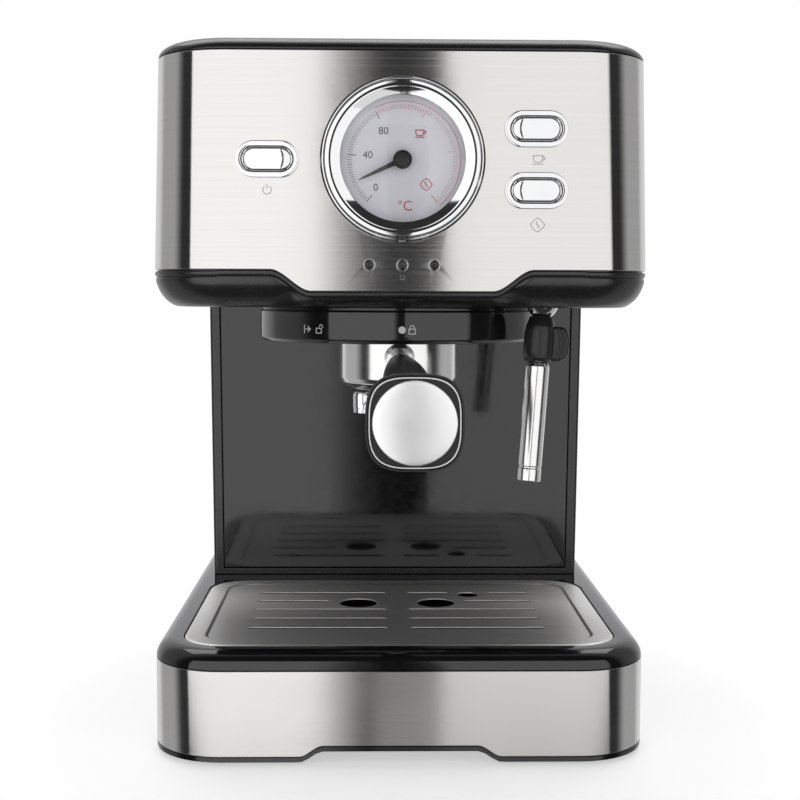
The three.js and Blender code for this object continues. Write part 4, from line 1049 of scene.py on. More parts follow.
def make_gauge():
    cup = [(1.6, -17.9), (30.4, -17.9), (30.4, 0), (29, 0), (29, -15.5), (1.6, -15.5)]
    piece("gauge_housing_fine", lathe(fillet(cup, 0.5), facing(0, GAUGE_Z)), "satin_black",
          replaces="gauge_housing")
    dial = [(1.6, -6), (28.7, -6), (28.7, -5), (1.6, -5)]
    piece("gauge_dial_fine", lathe(fillet(dial, 0.15), facing(0, GAUGE_Z)), "dial_card",
          replaces="gauge_dial")
    ring = [(27.3, 0.3, 0.1), (34.0, 0.3, 0.1), (34.0, 1.5, 0.5), (33.1, 2.7, 0.6), (32.6, 2.75, 0.3),
            (31.9, 3.75, 1.2),
            (30.4, 4.0, 1.2), (29.2, 3.95, 1.6), (26.0, 2.35, 0.5), (25.6, 2.2, 0.1), (27.3, 2.2, 0.1)]
    piece("gauge_bezel_fine", lathe(fillet(ring, 0.4, 6), facing(0, GAUGE_Z), 160), "chrome",
          replaces="gauge_bezel")
    lens = [(0, 0.6, 0), (27, 0.6), (27, 1.4), (20, 1.72, 3), (10, 1.88, 3), (0, 1.9, 0)]
    piece("gauge_lens_fine", lathe(fillet(lens, 0.2), facing(0, GAUGE_Z)), "clear_glass",
          replaces="gauge_lens")

    tip = Vector((-18.1, -8.4))
    along = tip.normalized()
    across = Vector((-along.y, along.x))
    upper = [(-2.9, -0.7), (-2.4, -1.05), (2, -1.15), (tip.length - 3, -0.5), (tip.length, -0.12)]
    lower = [(out, -side) for out, side in reversed(upper)]
    outline = [Vector((0, GAUGE_Z)) + along * out + across * side for out, side in upper + lower]
    pointer = sheet(outline, [], 0.6, lambda u, v, d: (u, 1.85 + d, v), 0.15)
    hub = [(0, -13, 0), (1.2, -13), (1.2, -4), (3.8, -4), (3.8, -1.3), (2.9, -0.5), (0, -0.4, 0)]
    needle = joined(pointer, lathe(fillet(hub, 0.35), facing(0, GAUGE_Z), 64))
    piece("gauge_needle_fine", needle, "needle_black", "gauge_needle", replaces="gauge_needle")

    face = 4.96  # just in front of the dial
    on_dial = lambda u, v, d: (u, face + d, GAUGE_Z + v)
    cut = 0.05

    def tick(angle, inner, outer, width):
        c, s = cos(radians(angle)), sin(radians(angle))
        return stroke([(inner * c, inner * s), (outer * c, outer * s)], width, cut, on_dial)

    scale, last = 22.4, -50
    angle_at = lambda value: 229 - 1.37 * value
    inner_end = lambda long: 19.0 if long else 20.6
    black, red, pink = [], [], []
    for value in range(0, 81, 2):
        long = value in (0, 40, 80)
        black.append(tick(angle_at(value), inner_end(long), scale, 0.34 if long else 0.2))
    for value in range(82, 204, 2):
        long = value in (120, 160)
        (red if value < 126 else pink).append(tick(angle_at(value), inner_end(long), scale, 0.2))
    red.append(tick(last, 18.6, scale, 0.3))
    pink.append(stroke(arc(0, 0, scale + 1.2, 119, last, 90), 0.45, cut, on_dial))
    for text, x, z in (("0", -10.9, -11.0), ("40", -14.2, 2.1), ("80", -7.8, 11.8)):
        black.append(lettering(text, x, GAUGE_Z + z, 2.9, face))
    red.append(lettering("C", 2.2, GAUGE_Z - 18.4, 4.0, face))
    red.append(stroke(circle(-1.0, -17.1, 0.6, 20), 0.3, cut, on_dial, True))
    red += cup_icon(7.0, 10.9, 0.8, 0.45, cut, on_dial)
    red += steam_icon(9.7, -9.8, 2.4, 0.4, cut, on_dial)
    piece("dial_print_black", joined(*black), "print_black")
    piece("dial_print_red", joined(*red), "print_red")
    piece("dial_print_pink", joined(*pink), "print_pink")


CREST, CREST_WIDTH, END_SLOPE = 7.2, 1.4, 0.24


def button_fall(dx, dz):
    """How far a button's face falls away past a curved crest near each of its ends."""
    past = abs(dx) - CREST + 0.06 * dz ** 2
    if past < -CREST_WIDTH:
        return 0
    if past < CREST_WIDTH:
        past = (past + CREST_WIDTH) ** 2 / (4 * CREST_WIDTH)
    return END_SLOPE * past


def make_buttons():
    for name, spot in BUTTONS.items():
        rings = []
        profile = [(0, 8), (0, -0.6), (0.12, -1.1), (0.35, -1.55), (0.7, -1.9), (1.1, -2.08), (1.5, -2.14),
                   (1.9, -2.16),
                   (2.3, -2.175), (2.7, -2.185), (3.1, -2.19), (3.5, -2.195), (3.9, -2.2), (4.5, -2.2)]
        for inset, y in profile:
            on_face = y < -1.3
            rings.append([(p.x, y + (button_fall(p.x - spot.x, p.y - spot.z) if on_face else 0), p.y)
                          for p in stadium(spot.x, spot.z, 10.5 - inset, 5.15 - inset, 24)])
        node = name + "_button"
        piece(node + "_fine", loft(rings), "chrome", node, replaces=node, angle=50, weighted=True)

        profile = [(0.0, -0.3), (0.0, -0.8), (0.1, -1.05), (0.35, -1.18), (0.7, -1.2), (1.8, -1.2),
                   (2.05, -1.12),
                   (2.18, -0.9), (2.2, 5.8), (1.5, 5.8), (1.5, -0.3)]
        rings = [[(p.x, y, p.y) for p in stadium(spot.x, spot.z, 13 - inset, 7.5 - inset, 20)]
                 for inset, y in profile]
        piece(node + "_ring_fine", loft(rings, loop=True), "chrome", replaces=node + "_ring", angle=40)

    bar = box((-19, 6.0, LAMP_Z - 3), (19, 8.0, LAMP_Z + 3))
    lens = [(0, -7.2, 0), (1.88, -7.2, 0.05), (1.88, -0.15, 0.25), (1.45, 0.2, 0.3), (0.8, 0.42, 0.4),
            (0, 0.5, 0)]
    lenses = [lathe(fillet(lens, 0.2), facing(x, LAMP_Z), 48) for x in LAMP_XS]
    piece("lamp_lenses_fine", bar, "lamp_clear", replaces="lamp_lenses", add=lenses, angle=30)
    collar = [(1.95, -0.9), (2.15, -0.9), (2.15, -0.02), (2.6, -0.02), (2.6, 0.12), (2.4, 0.3), (2.05, 0.3),
              (1.95, 0.15)]
    collars = [lathe(fillet(collar, 0.08), facing(x, LAMP_Z), 48) for x in LAMP_XS]
    piece("lamp_collars", joined(*collars), "chrome")

    board = box((-72, 27, 226), (72, 28.6, 288))
    extra = [box((s.x - 6, 12, s.z - 4), (s.x + 6, 27.5, s.z + 4)) for s in BUTTONS.values()]
    extra.append(box((-30, 28.1, 232), (-4, 37.6, 250)))
    piece("switch_board_fine", board, "circuit_board", replaces="switch_board", add=extra, bevel=0.3)


def make_marks():
    """Icons printed on the fascia and the shroud."""
    on_fascia = lambda u, v, d: (u, d - 0.03, v)
    cut = 0.05
    marks = [stroke(arc(-55.6, 242.7, 1.75, 120, 420, 28), 0.28, cut, on_fascia),
             stroke([(-55.6, 243.0), (-55.6, 245.1)], 0.28, cut, on_fascia)]
    marks += cup_icon(55.6, 255.7, 0.95, 0.26, cut, on_fascia)
    marks += steam_icon(55.7, 228.9, 2.9, 0.26, cut, on_fascia)
    piece("fascia_marks", joined(*marks), "print_grey")

    small = [stroke(arc(-13.6, 206.9, 0.95, 120, 420, 18), 0.2, cut, on_fascia),
             stroke([(-13.6, 207.0), (-13.6, 208.2)], 0.2, cut, on_fascia)]
    small += cup_icon(0, 207.1, 0.42, 0.2, cut, on_fascia)
    small += steam_icon(13.2, 207.1, 1.3, 0.2, cut, on_fascia)
    piece("lamp_marks", joined(*small), "print_grey")

    radius = span("group_shroud")[1].x - middle("group_shroud").x

    def on_ring(u, v, d):
        turn = u / radius
        r = radius + 0.03 - d
        return (r * sin(turn), GROUP_Y - r * cos(turn), v)

    def padlock(x, z, opened):
        body = [(x - 1.35, z - 1.7), (x + 1.35, z - 1.7), (x + 1.35, z + 0.4), (x - 1.35, z + 0.4)]
        shift = 1.2 if opened else 0
        bow = [(x + 0.9 + shift, z + 0.5)] + [tuple(p) for p in arc(x + shift, z + 1.0, 0.9, 0, 180, 10)]
        if not opened:
            bow.append((x - 0.9, z + 0.5))
        return [stroke(body, 0.35, cut, on_ring, True), stroke(bow, 0.32, cut, on_ring)]

    z = 185.0
    arrow = [[(-45.6, z - 1.9), (-45.6, z + 1.9)], [(-45.0, z), (-42.2, z)],
             [(-43.7, z + 1.2), (-42.1, z), (-43.7, z - 1.2)]]
    white = [stroke(line, 0.45, cut, on_ring) for line in arrow]
    white += padlock(-37.6, z, True)
    white.append(dot(0.3, z, 1.55, cut, on_ring))
    white += padlock(4.6, z, False)
    piece("shroud_marks", joined(*white), "print_white")


# ---------------------------------------------------------------------------
# Brewing group and portafilter
# ---------------------------------------------------------------------------
def sector(angle, half, inner, outer, count=10):
    there = arc(0, GROUP_Y, outer, angle - half, angle + half, count)
    return there + arc(0, GROUP_Y, inner, angle + half, angle - half, count)


def upright_block(outline, low, high):
    return loft([[(p.x, p.y, z) for p in outline] for z in (low, high)])


def make_group():
    low = span("group_shroud")[0].z
    shroud = [(46, low, 0.3), (63.4, low, 1.2), (65, low + 1.6, 1.2), (65, low + 13.6, 0.4),
              (64.3, low + 14.4, 0.4), (64.3, 194.3, 0.2),
              (62.4, 194.3, 0.2), (62.4, low + 2.6, 1.0), (46, low + 2.6, 0.3)]
    piece("group_shroud_fine", lathe(fillet(shroud, 0.4, 5), upright(0, GROUP_Y), 160), "gloss_black",
          replaces="group_shroud")
    head = [(3.3, 195.6), (37.3, 195.6), (37.3, 183), (31.5, 183), (31.5, 179.2), (43.7, 179.2),
            (43.7, 211.9), (3.3, 211.9)]
    notches = [upright_block(sector(turn, 18, 30, 37.5), 178, 183.3) for turn in (-41, 139)]
    piece("group_head_fine", lathe(fillet(head, 0.5), upright(0, GROUP_Y)), "cast_aluminium",
          replaces="group_head",
          cut=notches, angle=40, weighted=True)
    gasket = [(23.6, 189.7), (31, 189.7), (31, 195.3), (23.6, 195.3)]
    piece("group_gasket_fine", lathe(fillet(gasket, 0.8), upright(0, GROUP_Y)), "rubber",
          replaces="group_gasket")
    screen = [(3.3, 190.3), (23.2, 190.3), (23.2, 195.3), (22.2, 195.3), (22.2, 191.3), (3.3, 191.3)]
    holes = []
    for row, count in ((8, 8), (12, 14), (16, 20), (19.5, 26)):
        for i in range(count):
            t = 2 * pi * i / count
            holes.append(cylinder(0.7, 189, 192.5, upright(row * cos(t), GROUP_Y + row * sin(t)), 10))
    piece("shower_screen_fine", lathe(fillet(screen, 0.3), upright(0, GROUP_Y), 72), "turned_steel",
          replaces="shower_screen",
          cut=[joined(*holes)], angle=40)
    screw = [(0, 188.6, 0), (2.2, 188.6), (2.2, 188), (4.4, 188), (5, 188.6), (5, 190), (2.9, 190),
             (2.9, 207), (0, 207, 0)]
    piece("shower_screw_fine", lathe(fillet(screw, 0.25), upright(0, GROUP_Y), 48), "turned_steel",
          replaces="shower_screw")
    lower = [(0, 212.3, 0), (39, 212.3, 1.5), (39, 233), (37.8, 233.6), (37.8, 236), (34, 236), (34, 218),
             (0, 218, 0)]
    piece("boiler_lower_fine", lathe(fillet(lower, 0.6), upright(0, GROUP_Y)), "cast_aluminium",
          replaces="boiler_lower")
    upper = [(34, 236.3), (37.8, 236.3), (37.8, 238.6), (39, 239.2), (39, 250, 4), (30, 260, 3), (0, 260, 0),
             (0, 255, 0), (28, 255), (34, 248)]
    piece("boiler_upper_fine", lathe(fillet(upper, 0.6), upright(0, GROUP_Y)), "cast_aluminium",
          replaces="boiler_upper")


GRIP_FRONT, GRIP_BACK = -85.0, 18.0
GRIP_END_X, GRIP_END_Z, GRIP_NECK_Z = 2.9, 154.9, 168.6
GRIP_NECK, GRIP_MIDDLE, GRIP_END = 6.2, 9.6, 18.2
GRIP_SQUARE = 3.2  # 2 is round, and more is squarer


def grip_at(y):
    """The grip's section: its centre, half its size and how square it is."""
    t = (GRIP_BACK - y) / (GRIP_BACK - GRIP_FRONT)
    half = GRIP_NECK + (GRIP_MIDDLE - GRIP_NECK) * sin(min(t / 0.5, 1) * pi / 2)
    half += (GRIP_END - GRIP_MIDDLE) * (max(0.0, t - 0.5) / 0.5) ** 2.1
    height = GRIP_NECK_Z + (GRIP_END_Z - GRIP_NECK_Z) * t
    return GRIP_END_X * t, height, half, 2 + (GRIP_SQUARE - 2) * t ** 0.6


def grip_end_ring(half, y):
    return [(p.x, y, p.y) for p in squircle(GRIP_END_X, GRIP_END_Z, half, half * 0.99, GRIP_SQUARE, 96)]


def make_portafilter():
    cup = [(5, 155.8, 0.3), (15, 155.8, 0.6), (21.4, 155.8, 1.5), (27.2, 158.9, 1.6), (28, 161.2, 2),
           (28, 180.4, 0.3), (27.7, 180.8, 0.2),
           (28, 181.2, 0.3), (28, 188, 0.5), (25.7, 188, 0.4), (25.7, 159.6, 0.8), (5, 159.6, 0.3)]
    ears = [upright_block(sector(turn, 16, 27, 36.4), 184, 187.4) for turn in (0, 180)]
    neck = tube([(0, 58, 171.6), (0, 52, 171.3), (0, 46, 170.9), (0.2, 36, 170.2), (0.3, 20, 168.9),
                 (0.4, 4, 167.2)],
                [8.6, 6.6, 5.4, 4.9, 4.6, 4.6], 40, 6)
    bore = cylinder(25.65, 159.7, 190, upright(0, GROUP_Y))
    piece("portafilter_body_fine", lathe(fillet(cup, 0.4, 5), upright(0, GROUP_Y), 144), "satin_tube",
          "portafilter",
                 replaces="portafilter_body", add=ears + [neck], cut=[bore], angle=40, weighted=True)

    hub = [(0, 147.2, 0), (7.2, 147.0), (8, 148), (8, 155.5), (0, 155.5, 0)]
    middle_block = lathe(fillet(hub, 0.8), upright(0, GROUP_Y), 64)
    arms, holes = [], []
    for side in (-1, 1):
        arms.append(tube([(0, GROUP_Y, 151.2), (side * 9, GROUP_Y, 151.0), (side * 14.2, GROUP_Y, 149.7),
                          (side * 16.6, GROUP_Y, 147.2),
                          (side * 17, GROUP_Y, 144.0)], [4.0, 4.2, 4.6, 4.7, 4.4], 36, 6))
        crown = [(0, 146, 0), (4.6, 146), (4.7, 152.2, 1.2), (4.2, 154.3, 1.4), (0, 154.4, 0)]
        arms.append(lathe(fillet(crown, 0.5), upright(side * 17, GROUP_Y), 48))
        holes.append(cylinder(3, 142, 150.4, upright(side * 17, GROUP_Y), 32))
    piece("portafilter_spout_fine", middle_block, "chrome", "portafilter", replaces="portafilter_spout",
          add=arms, cut=holes,
          angle=40, weighted=True)
    basket = [(0, 160.4, 0), (24.2, 160.4, 0.8), (25.2, 161.4), (25.2, 188.3, 0.3), (29.4, 188.3, 0.15),
              (29.4, 189.2, 0.3), (24.6, 189.2, 0.5),
              (24.6, 161.4, 0.8), (0, 161.4, 0)]
    piece("filter_basket_fine", lathe(fillet(basket, 0.3), upright(0, GROUP_Y)), "turned_steel",
          "portafilter", replaces="filter_basket")

    ys = [18.0, 17.6, 17.0, 16, 14, 11, 8, 4, 0, -5, -10, -16, -22, -28, -34, -40, -46, -52, -58, -63, -68,
          -72, -76, -79, -81.5, -83.2, -84.2, -84.8, -85.0]
    rings = []
    for y in ys:
        x, z, half, square = grip_at(y)
        if y > 17.9:
            half -= 1.0
        elif y > 17.5:
            half -= 0.35
        near_end = max(0.0, -y - 81.5) / 3.5
        half -= 0.85 * (1 - sqrt(max(0.0, 1 - near_end ** 2)))
        rings.append([(p.x, y, p.y) for p in squircle(x, z, half, half * 0.99, square, 96)])
    for half, y in ((17.1, -85.0), (16.95, -84.9), (16.9, -84.0), (16.85, -83.82), (16.7, -83.75),
                    (15.6, -83.75)):
        rings.append(grip_end_ring(half, y))
    bore = tube([(0.2, 40, 170.5), (0.3, 20, 168.9), (0.4, 3.5, 167.1), (0.45, -3, 166.4)], 4.9, 32, 4)
    piece("handle_grip_fine", loft(rings), "soft_grip", "portafilter", replaces="handle_grip", cut=[bore],
          angle=40, weighted=True)

    trim = [(0, -84.5), (0.08, -85.0), (0.22, -85.22), (0.62, -85.22), (0.72, -85.0), (0.8, -84.5),
            (0.8, -83.78), (0, -83.78)]
    rings = [grip_end_ring(16.62 - inset, y) for inset, y in trim]
    piece("handle_ring_fine", loft(rings, loop=True), "satin_disc", "portafilter", replaces="handle_ring",
          angle=50)
    cap = [(0, 83.8, 0), (15.1, 83.8, 0.1), (15.2, 86.1, 0.45), (12.0, 86.62, 8), (6, 86.92, 8), (0, 87.0, 0)]
    piece("handle_cap_fine", lathe(fillet(cap, 0.3, 6), facing(GRIP_END_X, GRIP_END_Z), 128), "satin_disc",
          "portafilter", replaces="handle_cap")


# ---------------------------------------------------------------------------
# Steam side
# ---------------------------------------------------------------------------
def make_steam():
    ball = WAND_BALL
    down = (WAND_FOOT - ball).normalized()
    length = (WAND_FOOT - ball).length
    turn = Vector((0, 0, -1)).rotation_difference(down).to_matrix()
    along = lambda a, b, h: tuple(ball + turn @ Vector((a, b, h)))
    at_ball = lambda a, b, h: (ball.x + a, ball.y + b, ball.z + h)
    sphere = half_circle(BALL_RADIUS)
    piece("wand_ball_fine", lathe(sphere, at_ball, 64), "chrome", "wand_ball", replaces="wand_ball")

    boot = [(0, -25.6, 0), (5.4, -25.6, 0.5), (6.4, -24.4, 0.8), (6.8, -22.6, 1.2), (6.8, -14, 2),
            (6.3, -10.4, 2), (5.0, -6.1, 0.7), (0, -5.9, 0)]
    tab = [Vector(p) for p in ((3.6, -25.2), (9.2, -25.0), (11.4, -23.6), (12.7, -21.2), (13, -17.5),
                               (12.7, -14.2), (11.6, -11.4),
                               (9.9, -9.9), (3.6, -9.8))]
    tab_solid = sheet(tab, [], 7, lambda u, v, d: along(u, 3.5 - d, v), 1.5, steps=5)
    grooves = []
    for out in (0, 1.65):
        for side in (-1, 1):
            route = [along(x + out, side * 3.9, h) for x, h in ((7.6, -24.2), (9, -17.5), (7.6, -10.8))]
            grooves.append(tube(route, 0.75, 12, 6))
    socket = half_circle(BALL_RADIUS + GAP)
    bore = cylinder(3.3, -45, 2, along, 32)
    piece("wand_grip_fine", lathe(fillet(boot, 0.8, 5), along, 72), "soft_grip", "steam_wand",
          replaces="wand_grip", add=[tab_solid],
          cut=[lathe(socket, along, 48), bore] + grooves, angle=40, weighted=True)
    pipe = [(0, -length + 8, 0), (2.8, -length + 8), (2.8, -9.5), (0, -9.5, 0)]
    piece("wand_tube_fine", lathe(fillet(pipe, 0.6), along, 48), "chrome", "steam_wand", replaces="wand_tube")
    top = -(length - 52)
    sleeve = [(4.25, -length, 0.2), (5.25, -length, 0.35), (5.25, -length + 5.2, 0.3),
              (5.0, -length + 5.6, 0.2), (5.0, -length + 6.2, 0.2),
              (5.25, -length + 6.6, 0.3), (5.25, top - 2.2, 1.2), (4.4, top, 0.6), (3.2, top, 0.2),
              (3.2, top - 4, 0.3), (4.25, top - 5, 0.3)]
    vent = tube([along(3, 0, top - 8), along(8, 0, top - 8)], 0.9, 20, 2)
    piece("wand_sleeve_fine", lathe(fillet(sleeve, 0.3), along, 72), "satin_tube", "wand_sleeve",
          replaces="wand_sleeve", cut=[vent], angle=40)

    axis = sideways(KNOB_Y, KNOB_Z)
    valve = [(0, 70, 0), (9, 70), (9, 74), (8.2, 74.5), (8.2, 92), (9, 92.5), (9, 97), (3.8, 97), (3.8, 80),
             (0, 80, 0)]
    piece("steam_valve_fine", lathe(fillet(valve, 0.5), axis, 64), "brass", replaces="steam_valve")
    spindle = [(0, 80.3, 0), (3.5, 80.3), (3.5, 104), (3.1, 104.6), (3.1, 105.4), (3.5, 106), (3.5, 118),
               (0, 118, 0)]
    piece("valve_spindle_fine", lathe(fillet(spindle, 0.3), axis, 48), "brass", "steam_knob",
          replaces="valve_spindle")
    rings = []
    count = 216
    for r, h in fillet([(3.8, 107.6), (17.4, 107.6), (18, 108.4), (18, 110.2, 0.6), (17.4, 110.8, 0.3),
                        (17.6, 121.2, 1.5), (15.8, 124.9, 2.2), (13, 125.6, 1.2),
                        (11.6, 125.2, 0.6), (0, 124.6, 0), (0, 118.3, 0), (3.8, 118.3)], 0.4, 5):
        ring = []
        for i in range(count):
            t = 2 * pi * i / count
            fading = smooth((h - 110.4) / 1.2) * smooth((r - 9) / 6) if r > 9 else 0
            flute = 1.5 * max(0.0, cos(9 * t)) ** 3 * fading
            ring.append(axis((r - flute) * cos(t), (r - flute) * sin(t), h))
        rings.append(ring)
    piece("steam_knob_fine", loft(rings, loop=True), "black_plastic", "steam_knob", replaces="steam_knob",
          angle=40)
    on_knob = lambda u, v, d: (125.32 - d, u, v)
    pointer = stroke([(KNOB_Y, KNOB_Z + 4.5), (KNOB_Y, KNOB_Z + 10.5)], 1.3, 0.2, on_knob)
    piece("knob_pointer", pointer, "print_white", "steam_knob")
    steam = [(0, 80, 261.4), (0, 84, 273), (22, 112, 280), (62, 146, 278), (83, 155, 270), (83, 155, 264.4)]
    piece("steam_pipe_fine", tube(steam, 2.6, 24, 8), "turned_steel", replaces="steam_pipe")
    wand = [(68.6, 155, 252), (60, 151, 250), (58, 125, 235), (60, 70, 222), (62, 36, 214), (62, 31, 205)]
    piece("wand_pipe_fine", tube(wand, 2.6, 24, 8), "turned_steel", replaces="wand_pipe")


# ---------------------------------------------------------------------------
# Water side
# ---------------------------------------------------------------------------
def make_tank():
    def outline(inset, least=0.6):
        front_corner, back_corner = max(6 - inset, 0.6), max(16 - inset, least)
        return plan(TANK_HALF - inset, TANK_FRONT + inset, TANK_BACK - inset, front_corner, back_corner,
                    count=14)

    ring = lambda inset, z: [(p.x, p.y, z) for p in outline(inset)]
    rings = [ring(i, z) for i, z in ((2.4, 49.6), (1.1, 49.9), (0.3, 50.8), (0, 52.2), (0, 60), (0, 284),
                                     (0.05, 285), (0, 286), (0, 298.6),
                                     (0.4, 299.0), (1.8, 299.0), (2.2, 298.6), (2.2, 54.4), (2.8, 52.6),
                                     (4.6, 51.8))]
    hinge = (281, 300.5)
    port = cylinder(8.6, 40, 60, upright(0, TANK_PORT_Y), 48)
    lug = circle(*hinge, 3.3, 40)
    across = lambda left, right, loop: loft([[(x, p.x, p.y) for p in loop] for x in (left, right)])
    lugs = [across(side * 34 - 3, side * 34 + 3, lug) for side in (-1, 1)]
    bores = [across(-60, 60, circle(*hinge, 1.6, 32)), across(-30.6, 30.6, circle(*hinge, 3.9, 32)), port]
    piece("water_tank_fine", loft(rings), "smoked", "water_tank", replaces="water_tank", add=lugs, cut=bores,
          angle=32, weighted=True)
    on_tank = lambda u, v, d: (TANK_HALF + 0.02 - d, 236 + u, v)
    levels = [stroke([(0, z), (w, z)], 0.5, 0.05, on_tank)
              for z, w in ((262, 12), (212, 7), (162, 7), (112, 12))]
    piece("tank_level_lines", joined(*levels), "print_white", "water_tank")

    lid_profile = [(3.0, 303.4), (3.0, 299.5), (0.4, 299.3), (0.1, 299.6), (0, 303.4), (0.35, 304.7),
                   (1.2, 305.6), (2.6, 306.0), (12, 306.0),
                   (12.6, 305.8), (13.0, 305.3), (13.6, 305.1)]
    rings = [[(p.x, p.y, z) for p in outline(inset, 0.8)] for inset, z in lid_profile]
    swing = across(-50, 50, circle(*hinge, 4.6, 48))
    slim = across(-93, 93, circle(*hinge, 2.2, 32))
    barrel = [across(-30, 30, circle(*hinge, 3.4, 40)), box((-30, 274, 301.4), (30, 280.5, 303.7))]
    pins = [across(left, left + 8, circle(*hinge, 1.3, 24)) for left in (-37, 29)]
    piece("tank_lid_fine", loft(rings), "gloss_black", "tank_lid", replaces="tank_lid", cut=[swing, slim],
          angle=35, weighted=True)
    piece("tank_lid_hinge", barrel[0], "black_plastic", "tank_lid", add=[barrel[1]] + pins, bevel=0.3)

    valve = [(0, 38, 0), (5.6, 38), (6, 38.6), (6, 44), (8.3, 46), (8.3, 52.1), (10.5, 52.1), (10.5, 56),
             (6, 58), (0, 58, 0)]
    piece("tank_valve_fine", lathe(fillet(valve, 0.6), upright(0, TANK_PORT_Y), 64), "black_plastic",
          "water_tank", replaces="tank_valve")
    socket = [(0, 28, 0), (11, 28), (11, 48.6), (9, 48.6), (9, 34), (0, 34, 0)]
    port = tube([(-7, TANK_PORT_Y, 31.5), (-18, TANK_PORT_Y, 31.5)], 3.4, 32, 2)
    piece("tank_socket_fine", lathe(fillet(socket, 0.6), upright(0, TANK_PORT_Y), 64), "black_plastic",
          replaces="tank_socket", add=[port], angle=40)
    pump = [(0, 66, 0), (4.6, 66), (5, 66.5), (5, 80), (15, 80), (18.5, 82.5), (18.5, 92), (17.4, 93),
            (17.4, 118), (18.5, 119), (18.5, 129), (17.4, 130),
            (17.4, 137), (18.5, 138), (18.5, 148), (15, 150), (5, 150), (5, 162), (0, 162, 0)]
    piece("pump_fine", lathe(fillet(pump, 0.7), upright(PUMP_X, PUMP_Y), 72), "black_plastic",
          replaces="pump")
    suction = [(-18.8, TANK_PORT_Y, 31.5), (-28, TANK_PORT_Y, 30), (-38, 238, 27), (PUMP_X, 215, 25),
               (PUMP_X, 196, 32),
               (PUMP_X, PUMP_Y, 50), (PUMP_X, PUMP_Y, 65.6)]
    piece("suction_hose_fine", tube(suction, 3.6, 28, 8), "silicone", replaces="suction_hose")
    pressure = [(PUMP_X, PUMP_Y, 162.4), (PUMP_X, PUMP_Y, 205), (PUMP_X, 180, 232), (-34, 150, 244),
                (-12, 124, 243),
                (-10, 119, 243)]
    piece("pressure_hose_fine", tube(pressure, 2.6, 28, 8), "silicone", replaces="pressure_hose")


# ---------------------------------------------------------------------------
# Floor, lamps and camera
# ---------------------------------------------------------------------------
def make_stage():
    floor_mesh = bpy.data.meshes.new("floor")
    size = 6.0
    floor_mesh.from_pydata([(-size, -size, 0), (size, -size, 0), (size, size, 0), (-size, size, 0)], [],
                           [(0, 1, 2, 3)])
    floor = bpy.data.objects.new("floor", floor_mesh)
    bpy.context.scene.collection.objects.link(floor)
    floor.location.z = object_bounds()[0].z - 0.0001
    floor.visible_glossy = False
    material = bpy.data.materials.new("floor")
    material.use_nodes = True
    shader = next(node for node in material.node_tree.nodes if node.type == "BSDF_PRINCIPLED")
    shader.inputs["Base Color"].default_value = (0.86, 0.86, 0.86, 1)
    shader.inputs["Roughness"].default_value = 0.9
    shader.inputs["Emission Color"].default_value = (1, 1, 1, 1)
    shader.inputs["Emission Strength"].default_value = 0.5
    tree = material.node_tree
    output = next(node for node in tree.nodes if node.type == "OUTPUT_MATERIAL")
    white = tree.nodes.new("ShaderNodeEmission")
    where = tree.nodes.new("ShaderNodeTexCoord")
    length = tree.nodes.new("ShaderNodeVectorMath")
    length.operation = "LENGTH"
    tree.links.new(where.outputs["Object"], length.inputs[0])
    fade = tree.nodes.new("ShaderNodeMapRange")
    fade.interpolation_type = "SMOOTHSTEP"
    fade.inputs["From Min"].default_value = 0.16
    fade.inputs["From Max"].default_value = 0.5
    tree.links.new(length.outputs["Value"], fade.inputs["Value"])
    blend = tree.nodes.new("ShaderNodeMixShader")
    tree.links.new(fade.outputs[0], blend.inputs[0])
    tree.links.new(shader.outputs[0], blend.inputs[1])
    tree.links.new(white.outputs[0], blend.inputs[2])
    tree.links.new(blend.outputs[0], output.inputs["Surface"])
    floor_mesh.materials.append(material)

    world = bpy.data.worlds.new("studio")
    bpy.context.scene.world = world
    world.use_nodes = True
    tree = world.node_tree
    tree.nodes.clear()
    output = tree.nodes.new("ShaderNodeOutputWorld")
    seen = tree.nodes.new("ShaderNodeBackground")
    seen.inputs["Color"].default_value = (1, 1, 1, 1)
    seen.inputs["Strength"].default_value = 1.0
    around = tree.nodes.new("ShaderNodeBackground")
    mix = tree.nodes.new("ShaderNodeMixShader")
    path = tree.nodes.new("ShaderNodeLightPath")
    tree.links.new(path.outputs["Is Camera Ray"], mix.inputs[0])
    tree.links.new(around.outputs[0], mix.inputs[1])
    tree.links.new(seen.outputs[0], mix.inputs[2])
    tree.links.new(mix.outputs[0], output.inputs[0])
    place = tree.nodes.new("ShaderNodeTexCoord")
    split = tree.nodes.new("ShaderNodeSeparateXYZ")
    tree.links.new(place.outputs["Generated"], split.inputs[0])

    def ramp(value, start, end, low, high):
        node = tree.nodes.new("ShaderNodeMapRange")
        node.interpolation_type = "SMOOTHSTEP"
        node.inputs["From Min"].default_value = start
        node.inputs["From Max"].default_value = end
        node.inputs["To Min"].default_value = low
        node.inputs["To Max"].default_value = high
        tree.links.new(value, node.inputs["Value"])
        return node.outputs[0]

    behind = ramp(split.outputs["Y"], -0.30, 0.05, 0.03, 0.42)
    above = ramp(split.outputs["Z"], 0.985, 1.0, 0.0, 0.3)
    rear = ramp(split.outputs["Y"], 0.25, 0.75, 0.0, 0.75)
    total = tree.nodes.new("ShaderNodeMath")
    total.operation = "MAXIMUM"
    tree.links.new(behind, total.inputs[0])
    tree.links.new(above, total.inputs[1])
    brightest = tree.nodes.new("ShaderNodeMath")
    brightest.operation = "MAXIMUM"
    tree.links.new(total.outputs[0], brightest.inputs[0])
    tree.links.new(rear, brightest.inputs[1])
    tree.links.new(brightest.outputs[0], around.inputs["Strength"])
    around.inputs["Color"].default_value = (0.98, 0.985, 1.0, 1)


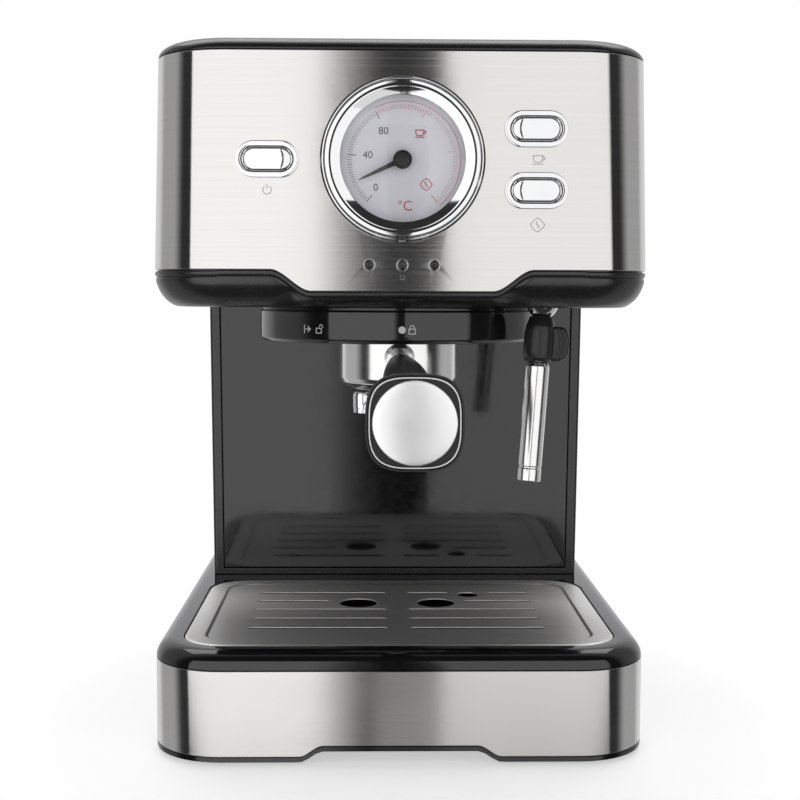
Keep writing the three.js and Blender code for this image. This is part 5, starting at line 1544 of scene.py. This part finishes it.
def softbox(name, low, high, toward, radiance, color=(1, 1, 1)):
    """A rectangular lamp between two corners of a vertical panel, facing a point, all in the design frame."""
    a, b = metres(low), metres(high)
    width = Vector((b.x - a.x, b.y - a.y, 0))
    height = b.z - a.z
    light = bpy.data.lights.new(name, "AREA")
    light.shape = "RECTANGLE"
    light.size = width.length
    light.size_y = height
    light.energy = radiance * pi * width.length * height
    light.color = color
    obj = bpy.data.objects.new(name, light)
    bpy.context.scene.collection.objects.link(obj)
    centre = (a + b) / 2
    normal = width.cross(Vector((0, 0, 1))).normalized()
    if normal.dot(metres(toward) - centre) < 0:
        normal = -normal
    side = Vector((0, 0, 1)).cross(-normal).normalized()
    obj.matrix_world = Matrix((
        (side.x, 0, -normal.x, centre.x),
        (side.y, 0, -normal.y, centre.y),
        (side.z, 1, -normal.z, centre.z),
        (0, 0, 0, 1),
    ))
    obj.visible_camera = False
    return obj


def make_lamps():
    # Two tall panels with a dark gap between them. The left one fades out towards the gap.
    low, high, foot = -300, 760, -110
    aim = (0, 0, 150)
    softbox("softbox_left", (-62, -700, low), (-1010, -560, high), aim, 1.2)
    for i, radiance in enumerate((0.86, 0.52, 0.24, 0.08)):
        left = -62 + 13 * i
        softbox(f"softbox_fade_{i}", (left, -700, low), (left + 13, -700, high), aim, radiance)
    softbox("softbox_right", (53, -700, foot), (900, -560, high), aim, 1.06)
    softbox("softbox_right_foot", (53, -700, low), (900, -560, foot), aim, 0.78)
    softbox("softbox_right_end", (900, -560, low), (965, -549, high), aim, 0.7)
    softbox("softbox_low", (-10, -700, low), (53, -700, foot), aim, 0.36)
    light = bpy.data.lights.new("overhead", "AREA")
    light.shape = "RECTANGLE"
    light.size, light.size_y = 2.0, 1.0
    light.energy = 12.0
    top = bpy.data.objects.new("overhead", light)
    bpy.context.scene.collection.objects.link(top)
    top.location = metres((0, 750, 1500))
    top.visible_camera = False


def make_camera():
    camera = bpy.data.cameras.new("camera")
    camera.sensor_width = 36.0
    camera.lens = 60.64
    camera.clip_start = 0.01
    obj = bpy.data.objects.new("camera", camera)
    bpy.context.scene.collection.objects.link(obj)
    yaw, pitch, roll = 0.01956, 0.07913, 0.00359
    forward = Vector((sin(yaw) * cos(pitch), cos(yaw) * cos(pitch), -sin(pitch)))
    right = Vector((cos(yaw), -sin(yaw), 0))
    up = right.cross(forward)
    across = right * cos(roll) + up * sin(roll)
    upward = up * cos(roll) - right * sin(roll)
    position = metres((-11.70, -558.44, 200.66))
    obj.matrix_world = Matrix((
        (across.x, upward.x, -forward.x, position.x),
        (across.y, upward.y, -forward.y, position.y),
        (across.z, upward.z, -forward.z, position.z),
        (0, 0, 0, 1),
    ))
    bpy.context.scene.camera = obj
    view = bpy.context.scene.view_settings
    view.view_transform = "Standard"
    view.look = "None"


make_camera()
make_base()
make_tray()
make_column()
make_head()
make_gauge()
make_buttons()
make_marks()
make_group()
make_portafilter()
make_steam()
make_tank()
make_stage()
make_lamps()
